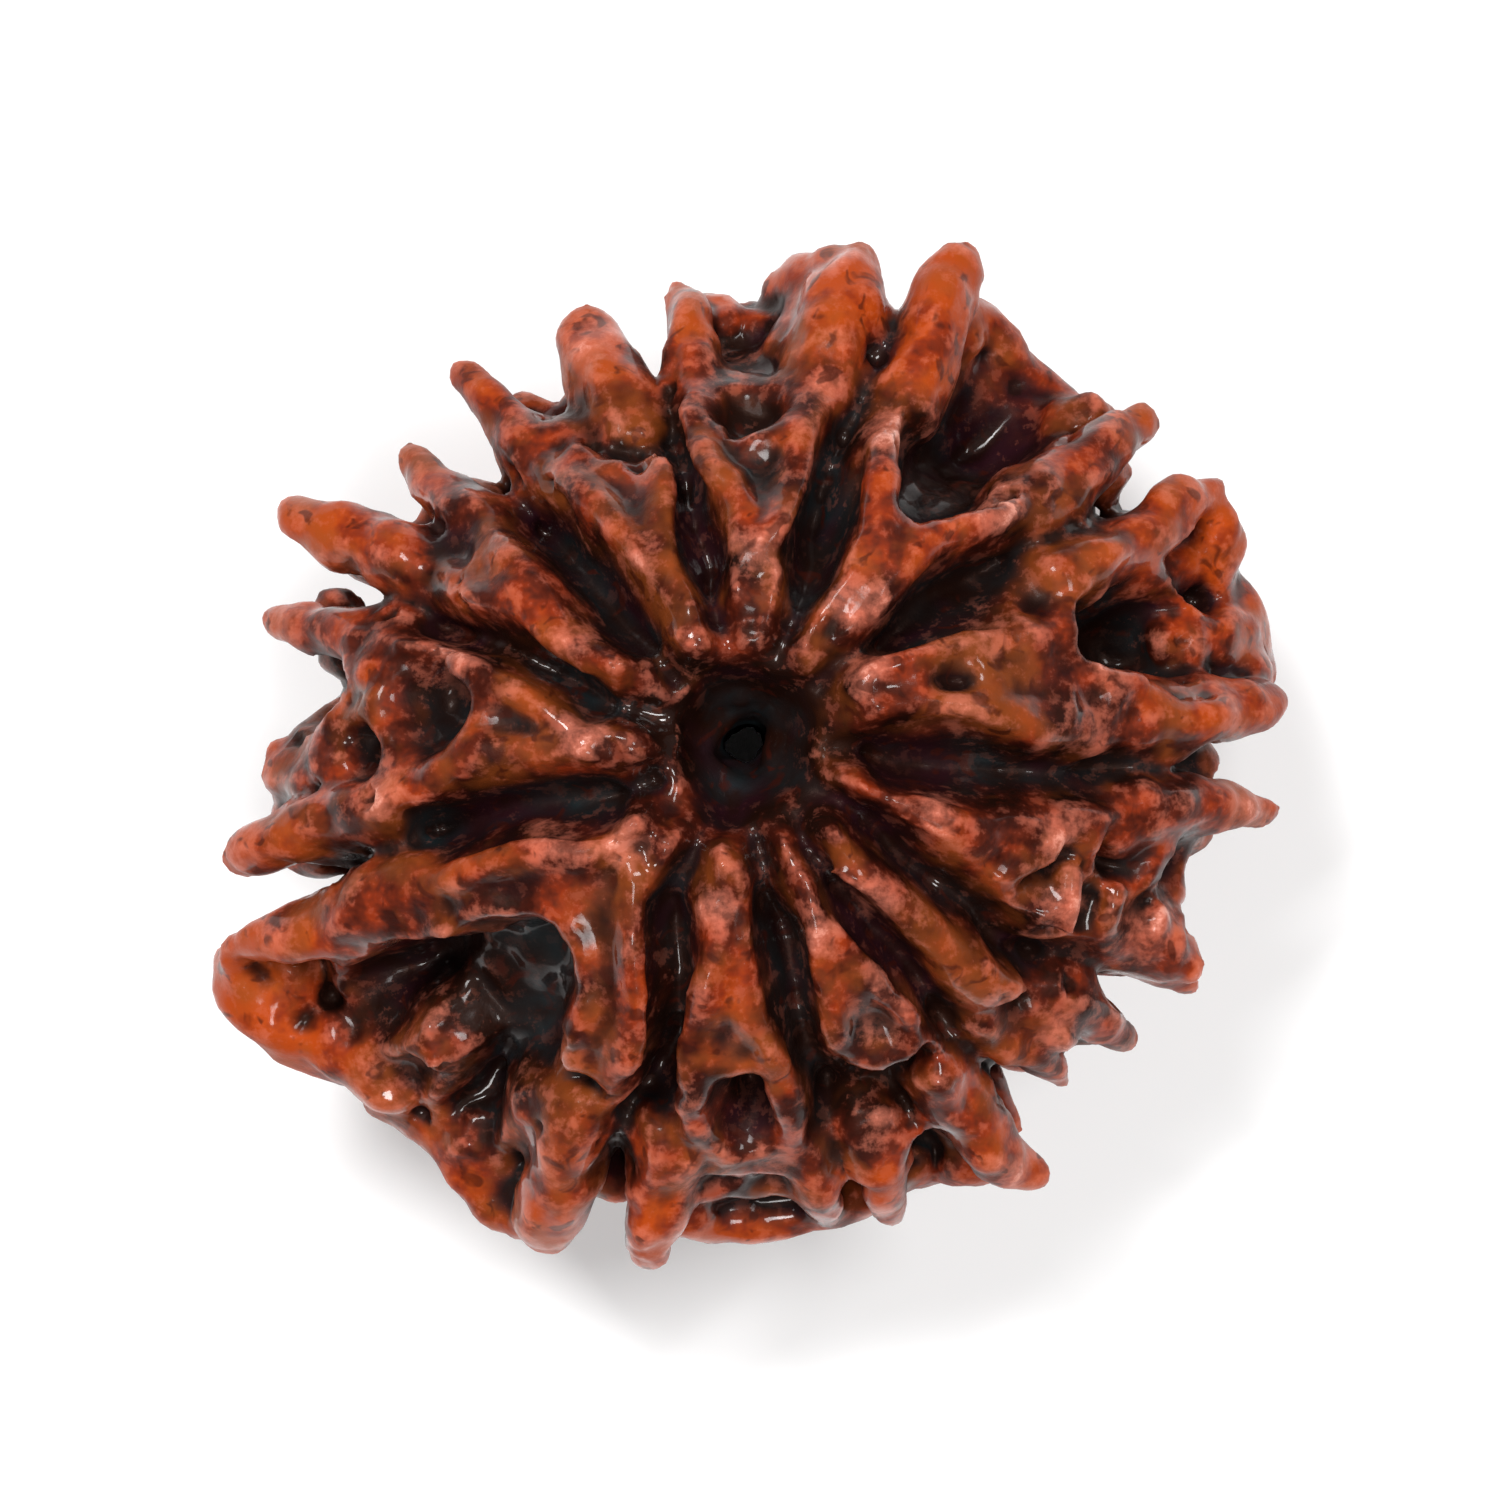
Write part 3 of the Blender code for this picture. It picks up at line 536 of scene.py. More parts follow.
# %% Buttresses
# Lumps that lean on the inner side of the thorns and fill the ribs' ends, in the same form.
BUTTRESSES = [
    [(9, 12.8, 0.7, 1.0), (5.5, 13.4, 0.9, 0.8)],
    [(24, 13.0, 0.9, 1.0), (28, 13.5, 1.3, 0.8)],
    [(8, 12.8, 0.0, 1.1), (14, 12.8, 0.0, 1.0), (20, 12.6, 0.2, 1.0)],
    [(36, 11.0, 1.2, 0.8), (37.4, 12.3, 1.7, 0.7)],
    [(358.5, 11.2, 0.0, 0.9), (356, 12.2, 0.5, 0.75)],
    [(46, 11.6, 1.4, 0.85), (41.5, 12.8, 1.9, 0.7)],
    [(61, 11.6, 1.4, 0.85), (65, 12.9, 2.0, 0.75)],
    [(84, 11.2, 1.4, 1.0), (80, 12.2, 1.6, 1.0)],
    [(85, 11.1, 0.8, 1.1), (91, 10.3, 0.8, 1.1), (96, 10.8, 0.8, 1.0)],
    [(93, 10.8, 1.2, 0.9), (97, 11.5, 1.5, 0.8)],
    [(106.5, 9.0, 1.8, 0.75), (109.5, 10.6, 2.2, 0.75)],
    [(115.5, 9.0, 1.6, 0.85), (112.5, 10.4, 1.9, 0.75)],
    [(122, 9.3, 1.6, 0.8), (125, 10.8, 1.7, 0.65)],
    [(142.5, 9.2, 1.2, 0.8), (139.5, 10.3, 1.5, 0.6)],
    [(148, 9.1, 1.2, 0.8), (151, 11.4, 1.7, 0.8)],
    [(161, 10.6, 1.0, 0.7), (163.5, 11.7, 0.9, 0.6)],
    [(168, 9.2, 0.8, 0.85), (166, 11.3, 0.8, 0.65)],
    [(171, 8.5, 1.0, 0.8), (177, 10.2, 0.8, 0.95), (184, 11.3, 0.8, 1.1)],
    [(203, 12.9, 0.8, 1.1), (208, 13.3, 0.5, 1.1), (212, 13.4, 0.3, 1.0)],
    [(186, 11.1, 1.2, 0.95), (190, 12.4, 1.4, 0.8)],
    [(218, 12.5, 0.8, 1.0), (223, 12.5, 1.0, 1.0), (227, 12.2, 0.8, 0.95)],
    [(234, 12.0, 0.2, 1.1), (240, 12.3, 0.5, 1.15), (245, 12.9, 0.6, 1.0)],
    [(239, 11.2, 0.6, 0.8), (246, 11.6, 0.9, 0.9)],
    [(212, 13.4, 0.5, 1.0), (217, 13.0, 0.5, 1.1), (222, 12.9, 0.4, 1.0)],
    [(296, 12.0, 0.9, 0.8), (300, 12.4, 0.9, 0.8), (304, 13.1, 1.0, 0.75)],
    [(279, 12.1, 0.5, 0.85), (284, 12.0, 0.4, 0.85), (289, 12.2, 0.7, 0.8)],
    [(265, 11.8, 1.0, 0.95), (261.5, 12.8, 1.1, 0.8)],
    [(264, 11.9, -0.2, 1.1), (272, 11.8, -0.3, 1.1), (280, 11.9, 0.1, 1.0)],
    [(265, 10.9, 2.0, 0.6), (263, 11.6, 1.8, 0.6)],
    [(274, 10.9, 1.9, 0.65), (277, 11.4, 1.5, 0.7)],
    [(292, 11.6, 0.8, 0.9), (289, 12.2, 1.0, 0.7)],
    [(290, 11.6, 0.0, 1.1), (297, 11.6, 0.0, 1.1), (302, 12.2, 0.4, 1.0)],
    [(297, 11.9, 0.8, 0.9), (302, 12.8, 1.0, 0.9)],
    [(315.5, 10.9, 1.2, 0.7), (314, 11.4, 1.5, 0.5)],
    [(318.5, 10.7, 0.9, 0.8), (322, 12.0, 0.9, 0.6)],
    [(338, 11.3, 0.7, 0.9), (333.5, 12.5, 0.9, 0.7)],
    [(339.5, 11.2, 4.55, 0.32), (335, 11.5, 4.8, 0.34), (331, 11.9, 4.0, 0.32)],
    [(338.5, 11.9, 3.4, 0.3), (335, 12.1, 4.1, 0.32), (331, 12.5, 3.5, 0.3)],
    [(336, 12.5, 2.9, 0.28), (334, 12.7, 3.5, 0.3), (331.5, 13.0, 2.4, 0.28)],
    [(332, 11.2, 0.2, 1.0), (340, 10.6, 0.2, 0.9), (347, 10.8, 0.4, 0.9)],
    [(347, 10.8, 0.9, 0.85), (351.5, 12.4, 1.1, 0.8)],
]
print(len(BUTTRESSES), "buttresses")

# %% Strands and nubs
# Strands and nubs along the edges of the ribs, as
# [(angle, distance from the axis, height over the crests, radius), ...] in mm.
STRANDS = [
    [(30, 4.0, 0.0, 0.4), (26, 5.8, 0.1, 0.4), (24, 7.3, 0.25, 0.5)],
    [(16, 3.9, 0.0, 0.35), (7, 6.0, 0.2, 0.4), (4, 7.4, 0.1, 0.4)],
    [(10, 8.6, 0.15, 0.35), (3, 8.3, 0.2, 0.35)],
    [(9, 9.7, 0.25, 0.4), (1, 9.3, 0.2, 0.35)],
    [(28, 9.3, 0.2, 0.6), (29, 11.4, 0.5, 0.8)],
    [(3, 11.8, 0.5, 0.5), (2, 12.4, 0.5, 0.5)],
    [(46, 3.9, 0.0, 0.35), (49, 5.4, 0.2, 0.45), (46, 7.3, 0.2, 0.45), (41, 8.9, 0.5, 0.6)],
    [(56, 4.6, 0.1, 0.35), (57, 6.2, 0.2, 0.4), (62, 7.2, 0.35, 0.5), (65, 8.8, 0.65, 0.72)],
    [(85, 4.4, 0.1, 0.45), (81, 6.2, 0.2, 0.4), (79, 7.7, 0.2, 0.4), (77, 9.5, 0.35, 0.5)],
    [(88, 4.6, 0.0, 0.35), (92, 6.4, 0.15, 0.35), (97, 7.3, 0.25, 0.4), (98, 9.0, 0.3, 0.45)],
    [(87, 9.5, 0.0, 0.4), (94, 9.6, 0.0, 0.4)],
    [(115, 4.2, 0.1, 0.4), (109, 6.0, 0.1, 0.35), (106, 7.7, 0.2, 0.4)],
    [(118, 4.8, 0.0, 0.35), (121, 6.8, 0.15, 0.4), (123, 8.8, 0.25, 0.5)],
    [(151, 4.2, 0.1, 0.4), (148, 6.2, 0.2, 0.45), (141, 8.6, 0.2, 0.5)],
    [(150, 6.6, 0.1, 0.4), (151, 9.4, 0.25, 0.5)],
    [(177, 4.0, 0.0, 0.35), (169, 5.6, 0.15, 0.35), (165, 7.8, 0.25, 0.45)],
    [(179, 4.6, 0.1, 0.35), (183, 7.0, 0.2, 0.4), (188, 9.2, 0.35, 0.55), (190, 10.6, 0.4, 0.6)],
    [(163, 9.6, 0.2, 0.5), (171, 9.6, 0.1, 0.5), (178, 9.3, 0.15, 0.45)],
    [(222, 3.9, 0.15, 0.4), (210, 5.4, 0.2, 0.35), (204, 7.4, 0.25, 0.45), (205, 9.9, 0.4, 0.7)],
    [(226, 3.9, 0.1, 0.35), (242, 5.8, 0.15, 0.35), (250, 7.6, 0.2, 0.38), (250.5, 9.1, 0.25, 0.42)],
    [(262, 4.2, 0.2, 0.4), (262, 6.2, 0.15, 0.35), (262, 8.6, 0.2, 0.45), (263, 10.6, 0.4, 0.55)],
    [(270, 5.0, 0.0, 0.35), (274, 7.4, 0.15, 0.4), (278, 9.2, 0.25, 0.45), (276, 10.8, 0.3, 0.5)],
    [(293, 4.6, 0.1, 0.35), (290, 6.4, 0.15, 0.35), (288, 8.5, 0.2, 0.4)],
    [(296, 5.2, 0.0, 0.3), (300, 7.4, 0.15, 0.35), (303, 8.5, 0.2, 0.35)],
    [(288, 8.7, 0.15, 0.35), (295, 8.9, 0.15, 0.35), (302, 8.6, 0.15, 0.35)],
    [(290, 10.6, 0.3, 0.55), (289, 11.8, 0.4, 0.55)],
    [(303, 3.9, 0.05, 0.3), (312, 5.2, 0.15, 0.35), (315, 7.8, 0.2, 0.4), (315, 9.3, 0.3, 0.45)],
    [(318, 10.8, 0.4, 0.5), (319, 11.3, 0.4, 0.45)],
    [(342, 4.2, 0.1, 0.35), (340, 5.6, 0.2, 0.4), (338, 7.0, 0.15, 0.35)],
    [(331, 7.2, 0.2, 0.3), (338, 7.9, 0.25, 0.3), (346, 8.4, 0.35, 0.4)],
    [(329, 9.3, 0.25, 0.3), (334, 9.1, 0.25, 0.3), (340, 8.8, 0.2, 0.3)],
    [(330, 10.4, 0.2, 0.3), (335, 10.3, 0.25, 0.3), (341, 10.4, 0.15, 0.3)],
    [(330, 11.5, 0.3, 0.35), (335, 11.3, 0.3, 0.3), (340, 11.5, 0.3, 0.35)],
]
print(len(STRANDS), "strands")

# %% Lumps in the pit
# Lumps inside the upper pit, given in the same way by height from the crest level of the pole.
PIT_LUMPS = [
    [(96, 2.3, -2.9, 0.5), (84, 1.0, -3.4, 0.45)],
    [(172, 2.15, -1.7, 0.6), (182, 1.7, -2.2, 0.5)],
    [(250, 2.4, -2.6, 0.45), (262, 1.5, -3.5, 0.4)],
    [(330, 2.5, -2.2, 0.5), (322, 1.6, -3.2, 0.4)],
    [(20, 2.6, -2.2, 0.45), (28, 1.6, -3.3, 0.4)],
]
print(len(PIT_LUMPS), "lumps")


# %% A smooth curve through a spine
def spine_point(spine, t):
    """A point on a smooth curve through a spine's two or more points, with its radius."""
    steps = len(spine) - 1
    index = min(int(t * steps), steps - 1)
    u = t * steps - index
    before, start, end, after = (spine[max(0, min(steps, index + k))] for k in (-1, 0, 1, 2))
    place = 0.5 * (2 * start[0] + (end[0] - before[0]) * u
                   + (2 * before[0] - 5 * start[0] + 4 * end[0] - after[0]) * u * u
                   + (3 * start[0] - before[0] - 3 * end[0] + after[0]) * u ** 3)
    return place, start[1] + (end[1] - start[1]) * u


# %% Spines of thorns and walls
# How much deeper than its own radius a thorn's root is sunk, in mm.
ROOT_SINK = 0.55


def thorn_spine(root_angle, root_distance, tip_angle, tip_distance, tip_height, root_radius, tip_radius):
    """A thorn's spine, from inside the stone out along the crest to its tip, in metres."""
    polar = polar_at(root_angle, root_distance * MM)
    crest = Vector(crest_point(root_angle, polar))
    root = crest - crest.normalized() * (root_radius + ROOT_SINK) * MM
    tip = cylindrical(tip_angle, tip_distance * MM, tip_height * MM)
    middle = root.lerp(tip, 0.55) + Vector((0, 0, 0.12)) * (tip - root).length
    mean = 0.42 * root_radius + 0.52 * tip_radius
    return [(root, 1.1 * root_radius * MM), (middle, mean * MM), (tip, 0.92 * tip_radius * MM)]


def wall_spine(wall):
    """A wall's spine in metres."""
    return [(cylindrical(angle, distance * MM, height * MM), radius * MM)
            for angle, distance, height, radius in wall]


# %% Spines of strands and lumps
def strand_spine(strand):
    """A strand's spine, which lies on the crest surface with its top at each point's height over it."""
    spine = []
    for angle, distance, height, radius in strand:
        crest = Vector(crest_point(angle, polar_at(angle, distance * MM)))
        out = Vector((crest.x / CREST_RADIUS ** 2, crest.y / CREST_RADIUS ** 2,
                      crest.z / CREST_HALF_HEIGHT ** 2))
        spine.append((crest + out.normalized() * (height - radius) * MM, radius * MM))
    return spine


def pit_lump_spine(lump):
    """A lump's spine inside the upper pit."""
    return [(cylindrical(angle, distance * MM, CREST_HALF_HEIGHT + height * MM), radius * MM)
            for angle, distance, height, radius in lump]


# %% Spines of knobs
# How many stand on each limb.
KNOBS = 3


def knob_spines(spine, draw):
    """Small knobs on a limb, which keep it from looking turned."""
    knobs = []
    for _ in range(KNOBS):
        place, radius = spine_point(spine, draw.uniform(0.25, 0.7))
        away = Vector(draw.uniform(-1, 1) for axis in range(3)).normalized()
        start = place + away * radius * 0.35
        end = place + away * radius * 0.66
        knobs.append([(start, 0.62 * radius), (end, draw.uniform(0.42, 0.6) * radius)])
    return knobs


# %% Spines of thorns below the rim
# Where the second row of thorns stands, in degrees from the upper pole.
UNDER_THORN_POLAR = 102.0
# How far smaller thorns may reach beyond the crest surface's widest.
THORN_SHELTER = 0.1 * MM


def under_thorn_spine(thorn, draw):
    """The spine of a thorn that stands below one of the rim, a little shorter, so that the rim hides it."""
    _, _, tip_angle, tip_distance, _, root_radius, tip_radius = thorn
    angle = tip_angle + draw.uniform(-0.8, 0.8)
    crest = Vector(crest_point(angle, UNDER_THORN_POLAR + draw.uniform(-3, 3)))
    height = crest.z / MM - draw.uniform(0.0, 1.2)
    tip = cylindrical(angle, tip_distance * draw.uniform(0.88, 0.94) * MM, height * MM)
    root = crest * 0.86
    slim = draw.uniform(0.75, 0.95)
    middle = root.lerp(tip, 0.5)
    return [(root, slim * root_radius * MM),
            (middle, slim * (0.45 * root_radius + 0.5 * tip_radius) * MM),
            (tip, slim * max(tip_radius, 0.32) * MM)]


def flank_thorns(ribs, draw):
    """Spines of smaller thorns along both crests of each rib, below the rim."""
    spines = []
    for rib in ribs:
        for share in (0.22, 0.78):
            for polar, reach in ((116, 1.5), (129, 1.2), (140, 0.7)):
                place = polar + draw.uniform(-4, 4)
                angle = across(rib, place, share + draw.uniform(-0.04, 0.04))
                crest = Vector(crest_point(angle, place))
                out = Vector((crest.x / CREST_RADIUS, crest.y / CREST_RADIUS, crest.z / CREST_HALF_HEIGHT))
                out = (out.normalized() + Vector((0, 0, draw.uniform(-0.3, 0.15)))).normalized()
                radius = draw.uniform(0.7, 0.95) * MM
                tip = crest + out * reach * draw.uniform(0.6, 1.2) * MM
                most = CREST_RADIUS * plan_share(angle) + THORN_SHELTER
                if tip.xy.length > most:
                    tip.xy *= most / tip.xy.length
                root = crest - out * 1.2 * radius
                middle = root.lerp(tip, 0.5)
                spines.append([(root, radius), (middle, 0.75 * radius), (tip, 0.4 * radius)])
    return spines


# %% All limbs
# How much taller than wide a limb is at its root.
THORN_FIN = 1.6
WALL_FIN = 1.5
FLANK_FIN = 1.3

limbs = [(THORN_FIN, thorn_spine(*thorn)) for thorn in THORNS]
limbs += [(WALL_FIN, wall_spine(wall)) for wall in WALLS + BUTTRESSES]
limbs += [(THORN_FIN, under_thorn_spine(thorn, draw)) for thorn in THORNS]
limbs += [(FLANK_FIN, spine) for spine in flank_thorns(ribs_between(ways), draw)]
knob_draw = random.Random(SEED + 2)
limbs += [(1.0, knob) for fin, spine in limbs for knob in knob_spines(spine, knob_draw)]
limbs += [(1.0, strand_spine(strand)) for strand in STRANDS]
limbs += [(1.0, pit_lump_spine(lump)) for lump in PIT_LUMPS]
print(len(limbs), "limbs")

# %% One sphere to draw them from
bpy.ops.object.select_all(action="DESELECT")
bpy.ops.mesh.primitive_uv_sphere_add(segments=20, ring_count=24, radius=1.0)
ball = bpy.context.object
ball_points = points_of(ball.data)
print("a sphere of", len(ball_points), "points")


# %% Draw a limb out of the sphere
def limb_points(spine, fin):
    """The sphere's points slid along a spine of (point, radius). The root is `fin` times taller than wide."""
    placed = []
    for x, y, z in ball_points.tolist():
        t = 0.5 * (z + 1)
        place, radius = spine_point(spine, t)
        ahead, _ = spine_point(spine, min(1.0, t + 0.02))
        behind, _ = spine_point(spine, max(0.0, t - 0.02))
        axis = (ahead - behind).normalized()
        side = Vector((0, 0, 1)).cross(axis).normalized()
        up = axis.cross(side)
        round_end = max(0.0, 1 - abs(2 * t - 1) ** (5 if t < 0.5 else 2.8)) ** 0.5
        flat = math.hypot(x, y) or 1.0
        tall = 1 + (fin - 1) * (1 - t)
        placed.append(place + radius * round_end * (side * (x / flat) + up * (y / flat) * tall))
    return np.array([point[:] for point in placed])


# %% Draw them all
made = []
for fin, spine in limbs:
    bpy.ops.object.select_all(action="DESELECT")
    ball.select_set(True)
    bpy.context.view_layer.objects.active = ball
    bpy.ops.object.duplicate()
    limb = bpy.context.object
    set_points(limb.data, limb_points(spine, fin))
    made.append(limb)
bpy.data.objects.remove(ball)
print(len(made), "limbs drawn")

# %% Join them to the stone
bpy.ops.object.select_all(action="DESELECT")
for limb in made:
    limb.select_set(True)
stone.select_set(True)
bpy.context.view_layer.objects.active = stone
bpy.ops.object.join()
print("joined:", len(stone.data.vertices), "points")

# %% [markdown]
# ## Bending it off true
# A turned body with round thorns looks made, not grown. So all of it is bent a little, each way, by smooth
# noise that is a few millimetres across. The canal stays straight, because it is drilled.

# %% Bend everything a little
# How far, and over which size of the noise.
BEND = 0.34 * MM
BEND_SCALE = 2.3 * MM

points = points_of(stone.data)
reach = np.hypot(points[:, 0], points[:, 1])
bend = np.array([noise.noise_vector(Vector(point) / BEND_SCALE) for point in points])
set_points(stone.data, points + BEND * bend * smooth_step(1.2 * MM, 4 * MM, reach)[:, None])
print("bent by up to", round(float(BEND * np.abs(bend).max() / MM), 2), "mm each way")

# %% [markdown]
# ## One skin
# The stone grew as one piece, so no seam may show where a limb stands. Booleans would leave sharp seams and
# often fail on so many pieces. A voxel remesh turns the body and all that stands in it into one closed skin
# of even squares. Rounds of smoothing take off the voxel steps and leave soft fillets, and a decimate
# thins the flatter parts.

# %% Apply a modifier
def apply_modifier(piece, name, kind, **settings):
    """Adds a modifier with these settings and applies it."""
    modifier = piece.modifiers.new(name, kind)
    for key, value in settings.items():
        setattr(modifier, key, value)
    bpy.ops.object.modifier_apply(modifier=modifier.name)


# %% Fuse and soften
VOXEL = 0.20 * MM

apply_modifier(stone, "fuse", "REMESH", mode="VOXEL", voxel_size=VOXEL)
apply_modifier(stone, "soften", "SMOOTH", factor=0.5, iterations=3)
print("one skin of", len(stone.data.polygons), "squares")

# %% Thin it out
MOST_TRIANGLES = 190000

share = MOST_TRIANGLES / (2 * len(stone.data.polygons))
apply_modifier(stone, "thin out", "DECIMATE", ratio=min(1.0, share))
print("thinned to", len(stone.data.polygons), "faces")

# %% [markdown]
# ## Fibres, folds and pocks
# The real skin isn't smooth. Fibres run along the ribs and out into the thorns, folds and lumps lie across
# them near the rim, and small round pocks are scattered there. A sculpt brush could add them, and noise
# does it here, so that they run on round the back. All are pushed in and out along the surface's own
# normals. The fibres' noise is squeezed round the canal, so that they run from pole to pole.

# %% Read normals and noise
def normals_of(mesh):
    normals = np.empty(len(mesh.vertices) * 3)
    mesh.vertex_normals.foreach_get("vector", normals)
    return normals.reshape(-1, 3)


def noise_at(points, kind):
    return np.array([kind(Vector(point)) for point in points])


# %% Fibres and folds
# Their heights, and the size of a fold.
FIBRE = 0.10 * MM
FOLD = 0.20 * MM
FOLD_SCALE = 1.0 * MM
# How far the fibres swirl off their way, and how many lie round the stone for each turn of the noise.
SWIRL = 0.9 * MM
FIBRES_AROUND = 17

points = points_of(stone.data)
reach = np.hypot(points[:, 0], points[:, 1])
rough = 0.2 + 0.8 * smooth_step(5 * MM, 10 * MM, reach)
swirl = noise_at(points / (2.2 * MM), noise.noise_vector) * SWIRL
around = points[:, :2] / np.maximum(reach, 1 * MM)[:, None] * FIBRES_AROUND
along = (points[:, 2] * 0.5 - reach) / (3.2 * MM)
fibres = noise_at(np.column_stack([around, along]) + swirl / (1.1 * MM), noise.noise)
folds = noise_at((points + swirl) / FOLD_SCALE, noise.noise)
push = FIBRE * fibres * (0.5 + 0.5 * rough) + FOLD * rough * folds
print("pushed by", np.round(np.percentile(push, [5, 95]) / MM, 2), "mm")

# %% Pocks
# The depth of a pock that is 1 mm across, and how many there are.
POCK = 0.45 * MM
POCKS = 180

pock_draw = random.Random(SEED + 1)
pocks = np.zeros(len(points))
for _ in range(POCKS):
    spot = crest_point(pock_draw.uniform(0, 360), pock_draw.uniform(46, 134))
    size = pock_draw.uniform(0.2, 0.42) * MM
    nearest = points[np.argmin(np.linalg.norm(points - spot, axis=1))]
    gap = np.linalg.norm(points - nearest, axis=1)
    pocks = np.maximum(pocks, (1 - smooth_step(0.35 * size, size, gap)) * size / (0.5 * MM))
set_points(stone.data, points + normals_of(stone.data) * (push - POCK * pocks)[:, None])
apply_modifier(stone, "settle", "SMOOTH", factor=0.4, iterations=1)
print(POCKS, "pocks")

# %% [markdown]
# ## Height, edges, and rubbed and highlit spots
# The colour of a handled bead follows its relief: the clefts go black, partly from oil and dirt and partly as
# painted shade, the plateaus are brown-red, the thorns are orange, and edges and spots go salmon to pale,
# partly from rubbing and partly as painted highlights. So four measures are stored at each point: how high it
# lies over the crest surface, how sharp the surface is there in the small and in the large, and how far it is
# rubbed or highlit. The small and the large one tell a fine edge from a broad hollow.

# %% Neighbours of each point
edges = np.empty(len(stone.data.edges) * 2, dtype=int)
stone.data.edges.foreach_get("vertices", edges)
edges = edges.reshape(-1, 2)
count = len(stone.data.vertices)
valence = np.bincount(edges.ravel(), minlength=count)[:, None]


def spread(values, rounds):
    """Each value averaged with its neighbours' this many times."""
    for _ in range(rounds):
        total = np.stack([np.bincount(edges[:, 0], values[edges[:, 1], axis], count)
                          + np.bincount(edges[:, 1], values[edges[:, 0], axis], count)
                          for axis in range(values.shape[1])], axis=1)
        values = 0.5 * values + 0.5 * total / valence
    return values


print("each point has", round(float(valence.mean()), 1), "neighbours")


# %% Measure the relief
def height_over_crests(points):
    """How far each point lies outside the crest surface, below zero inside it, in mm."""
    angle = np.degrees(np.arctan2(points[:, 1], points[:, 0]))
    reach = np.hypot(points[:, 0], points[:, 1])
    level = np.sign(points[:, 2]) * (np.abs(points[:, 2]) / CREST_HALF_HEIGHT) ** (1 / BOXINESS)
    share = (reach / (CREST_RADIUS * plan_share(angle))) ** (1 / BOXINESS)
    fullness = np.hypot(share, level) ** BOXINESS
    return np.linalg.norm(points, axis=1) * (1 - 1 / np.maximum(fullness, 0.05)) / MM


points = points_of(stone.data)
height = height_over_crests(points)
normals = normals_of(stone.data)
fine_edge = np.einsum("ij,ij->i", points - spread(points, 6), normals) / MM
broad_edge = np.einsum("ij,ij->i", points - spread(points, 60), normals) / MM
print("height from", round(float(height.min()), 2), "to", round(float(height.max()), 2), "mm")
print("fine edges from", np.round(np.percentile(fine_edge, [5, 95]), 3))
print("broad ones from", np.round(np.percentile(broad_edge, [5, 95]), 3))

# %% Rubbed and highlit spots
# Spots that go pale, partly from rubbing and partly as painted highlights, as (angle, distance from the axis,
# size, how pale), with the distance and size in mm.
WORN_AND_HIGHLIT_SPOTS = [
    (31, 3.8, 0.8, 0.8), (24, 6.9, 1.0, 0.5), (8, 5.6, 0.8, 0.4), (3, 8.6, 1.3, 0.4),
    (8, 9.4, 1.0, 0.4), (51, 4.7, 1.0, 0.9), (65, 8.7, 0.8, 1.0), (42, 8.8, 0.8, 0.7),
    (77, 9.5, 0.7, 0.8), (84, 4.9, 0.9, 0.7), (93, 9.7, 1.1, 0.4), (110, 11.1, 0.9, 0.9),
    (118, 5.4, 1.0, 0.4), (148, 5.0, 0.9, 0.5), (164, 7.6, 1.2, 0.4), (178, 4.0, 0.9, 0.6),
    (187, 9.2, 1.0, 0.5), (222, 3.8, 0.9, 0.9), (208, 5.4, 1.0, 0.5), (201, 13.0, 0.8, 0.5),
    (223, 12.4, 1.3, 0.4), (262, 4.2, 0.8, 0.8), (264, 11.2, 1.0, 0.4), (275, 10.8, 0.9, 0.6),
    (293, 5.3, 0.7, 0.9), (296, 7.8, 1.0, 0.5), (290, 10.6, 0.8, 0.5), (312, 5.0, 0.9, 0.6),
    (318, 10.8, 0.8, 0.8), (340, 5.3, 0.8, 0.9), (334, 9.1, 0.9, 0.7), (345, 8.4, 0.8, 0.8),
    (335, 11.4, 1.2, 0.6), (353, 13.2, 0.7, 0.6), (303, 13.2, 0.8, 0.6),
]

worn_and_highlit = np.zeros(count)
ragged = 0.35 * noise_at(points / (0.7 * MM), noise.noise)
for angle, distance, size, pale_share in WORN_AND_HIGHLIT_SPOTS:
    spot = cylindrical(angle, distance * MM, 0)
    gap = np.hypot(points[:, 0] - spot.x, points[:, 1] - spot.y) / (size * MM) + ragged
    worn_and_highlit = np.maximum(worn_and_highlit, pale_share * (1 - smooth_step(0.35, 1.0, gap)) * (points[:, 2] > 0))

# %% Store the measures
measures = (("height", height), ("fine_edge", fine_edge), ("broad_edge", broad_edge), ("worn_and_highlit", worn_and_highlit))
for name, values in measures:
    layer = stone.data.attributes.new(name, "FLOAT", "POINT")
    layer.data.foreach_set("value", values.astype(np.float32))
print(len(WORN_AND_HIGHLIT_SPOTS), "rubbed spots and", len(measures), "measures stored")

# %% [markdown]
# ## Standing on its crests
# The bead lies with one end of the canal down, on the few crests that are worn level. A bisect with a
# filled cut takes off what hangs below the floor, at the same level as in the CAD model. A remesh can also
# leave a tiny bubble inside, so what isn't joined to the rim is deleted.

# %% Place it and cut it level
# Where the middle of the canal lies in the CAD model, in metres.
AXIS_PLACE = (-0.0003685, 0.0001676, 0.0095753)

set_points(stone.data, points_of(stone.data) + np.array(AXIS_PLACE))
bpy.ops.object.mode_set(mode="EDIT")
bpy.ops.mesh.select_all(action="SELECT")
bpy.ops.mesh.bisect(plane_co=(0, 0, 0), plane_no=(0, 0, -1), use_fill=True, clear_outer=True,
                    threshold=1e-7)
bpy.ops.mesh.select_all(action="SELECT")
bpy.ops.mesh.remove_doubles(threshold=2e-6)
bpy.ops.mesh.normals_make_consistent(inside=False)
print("cut level at the floor")

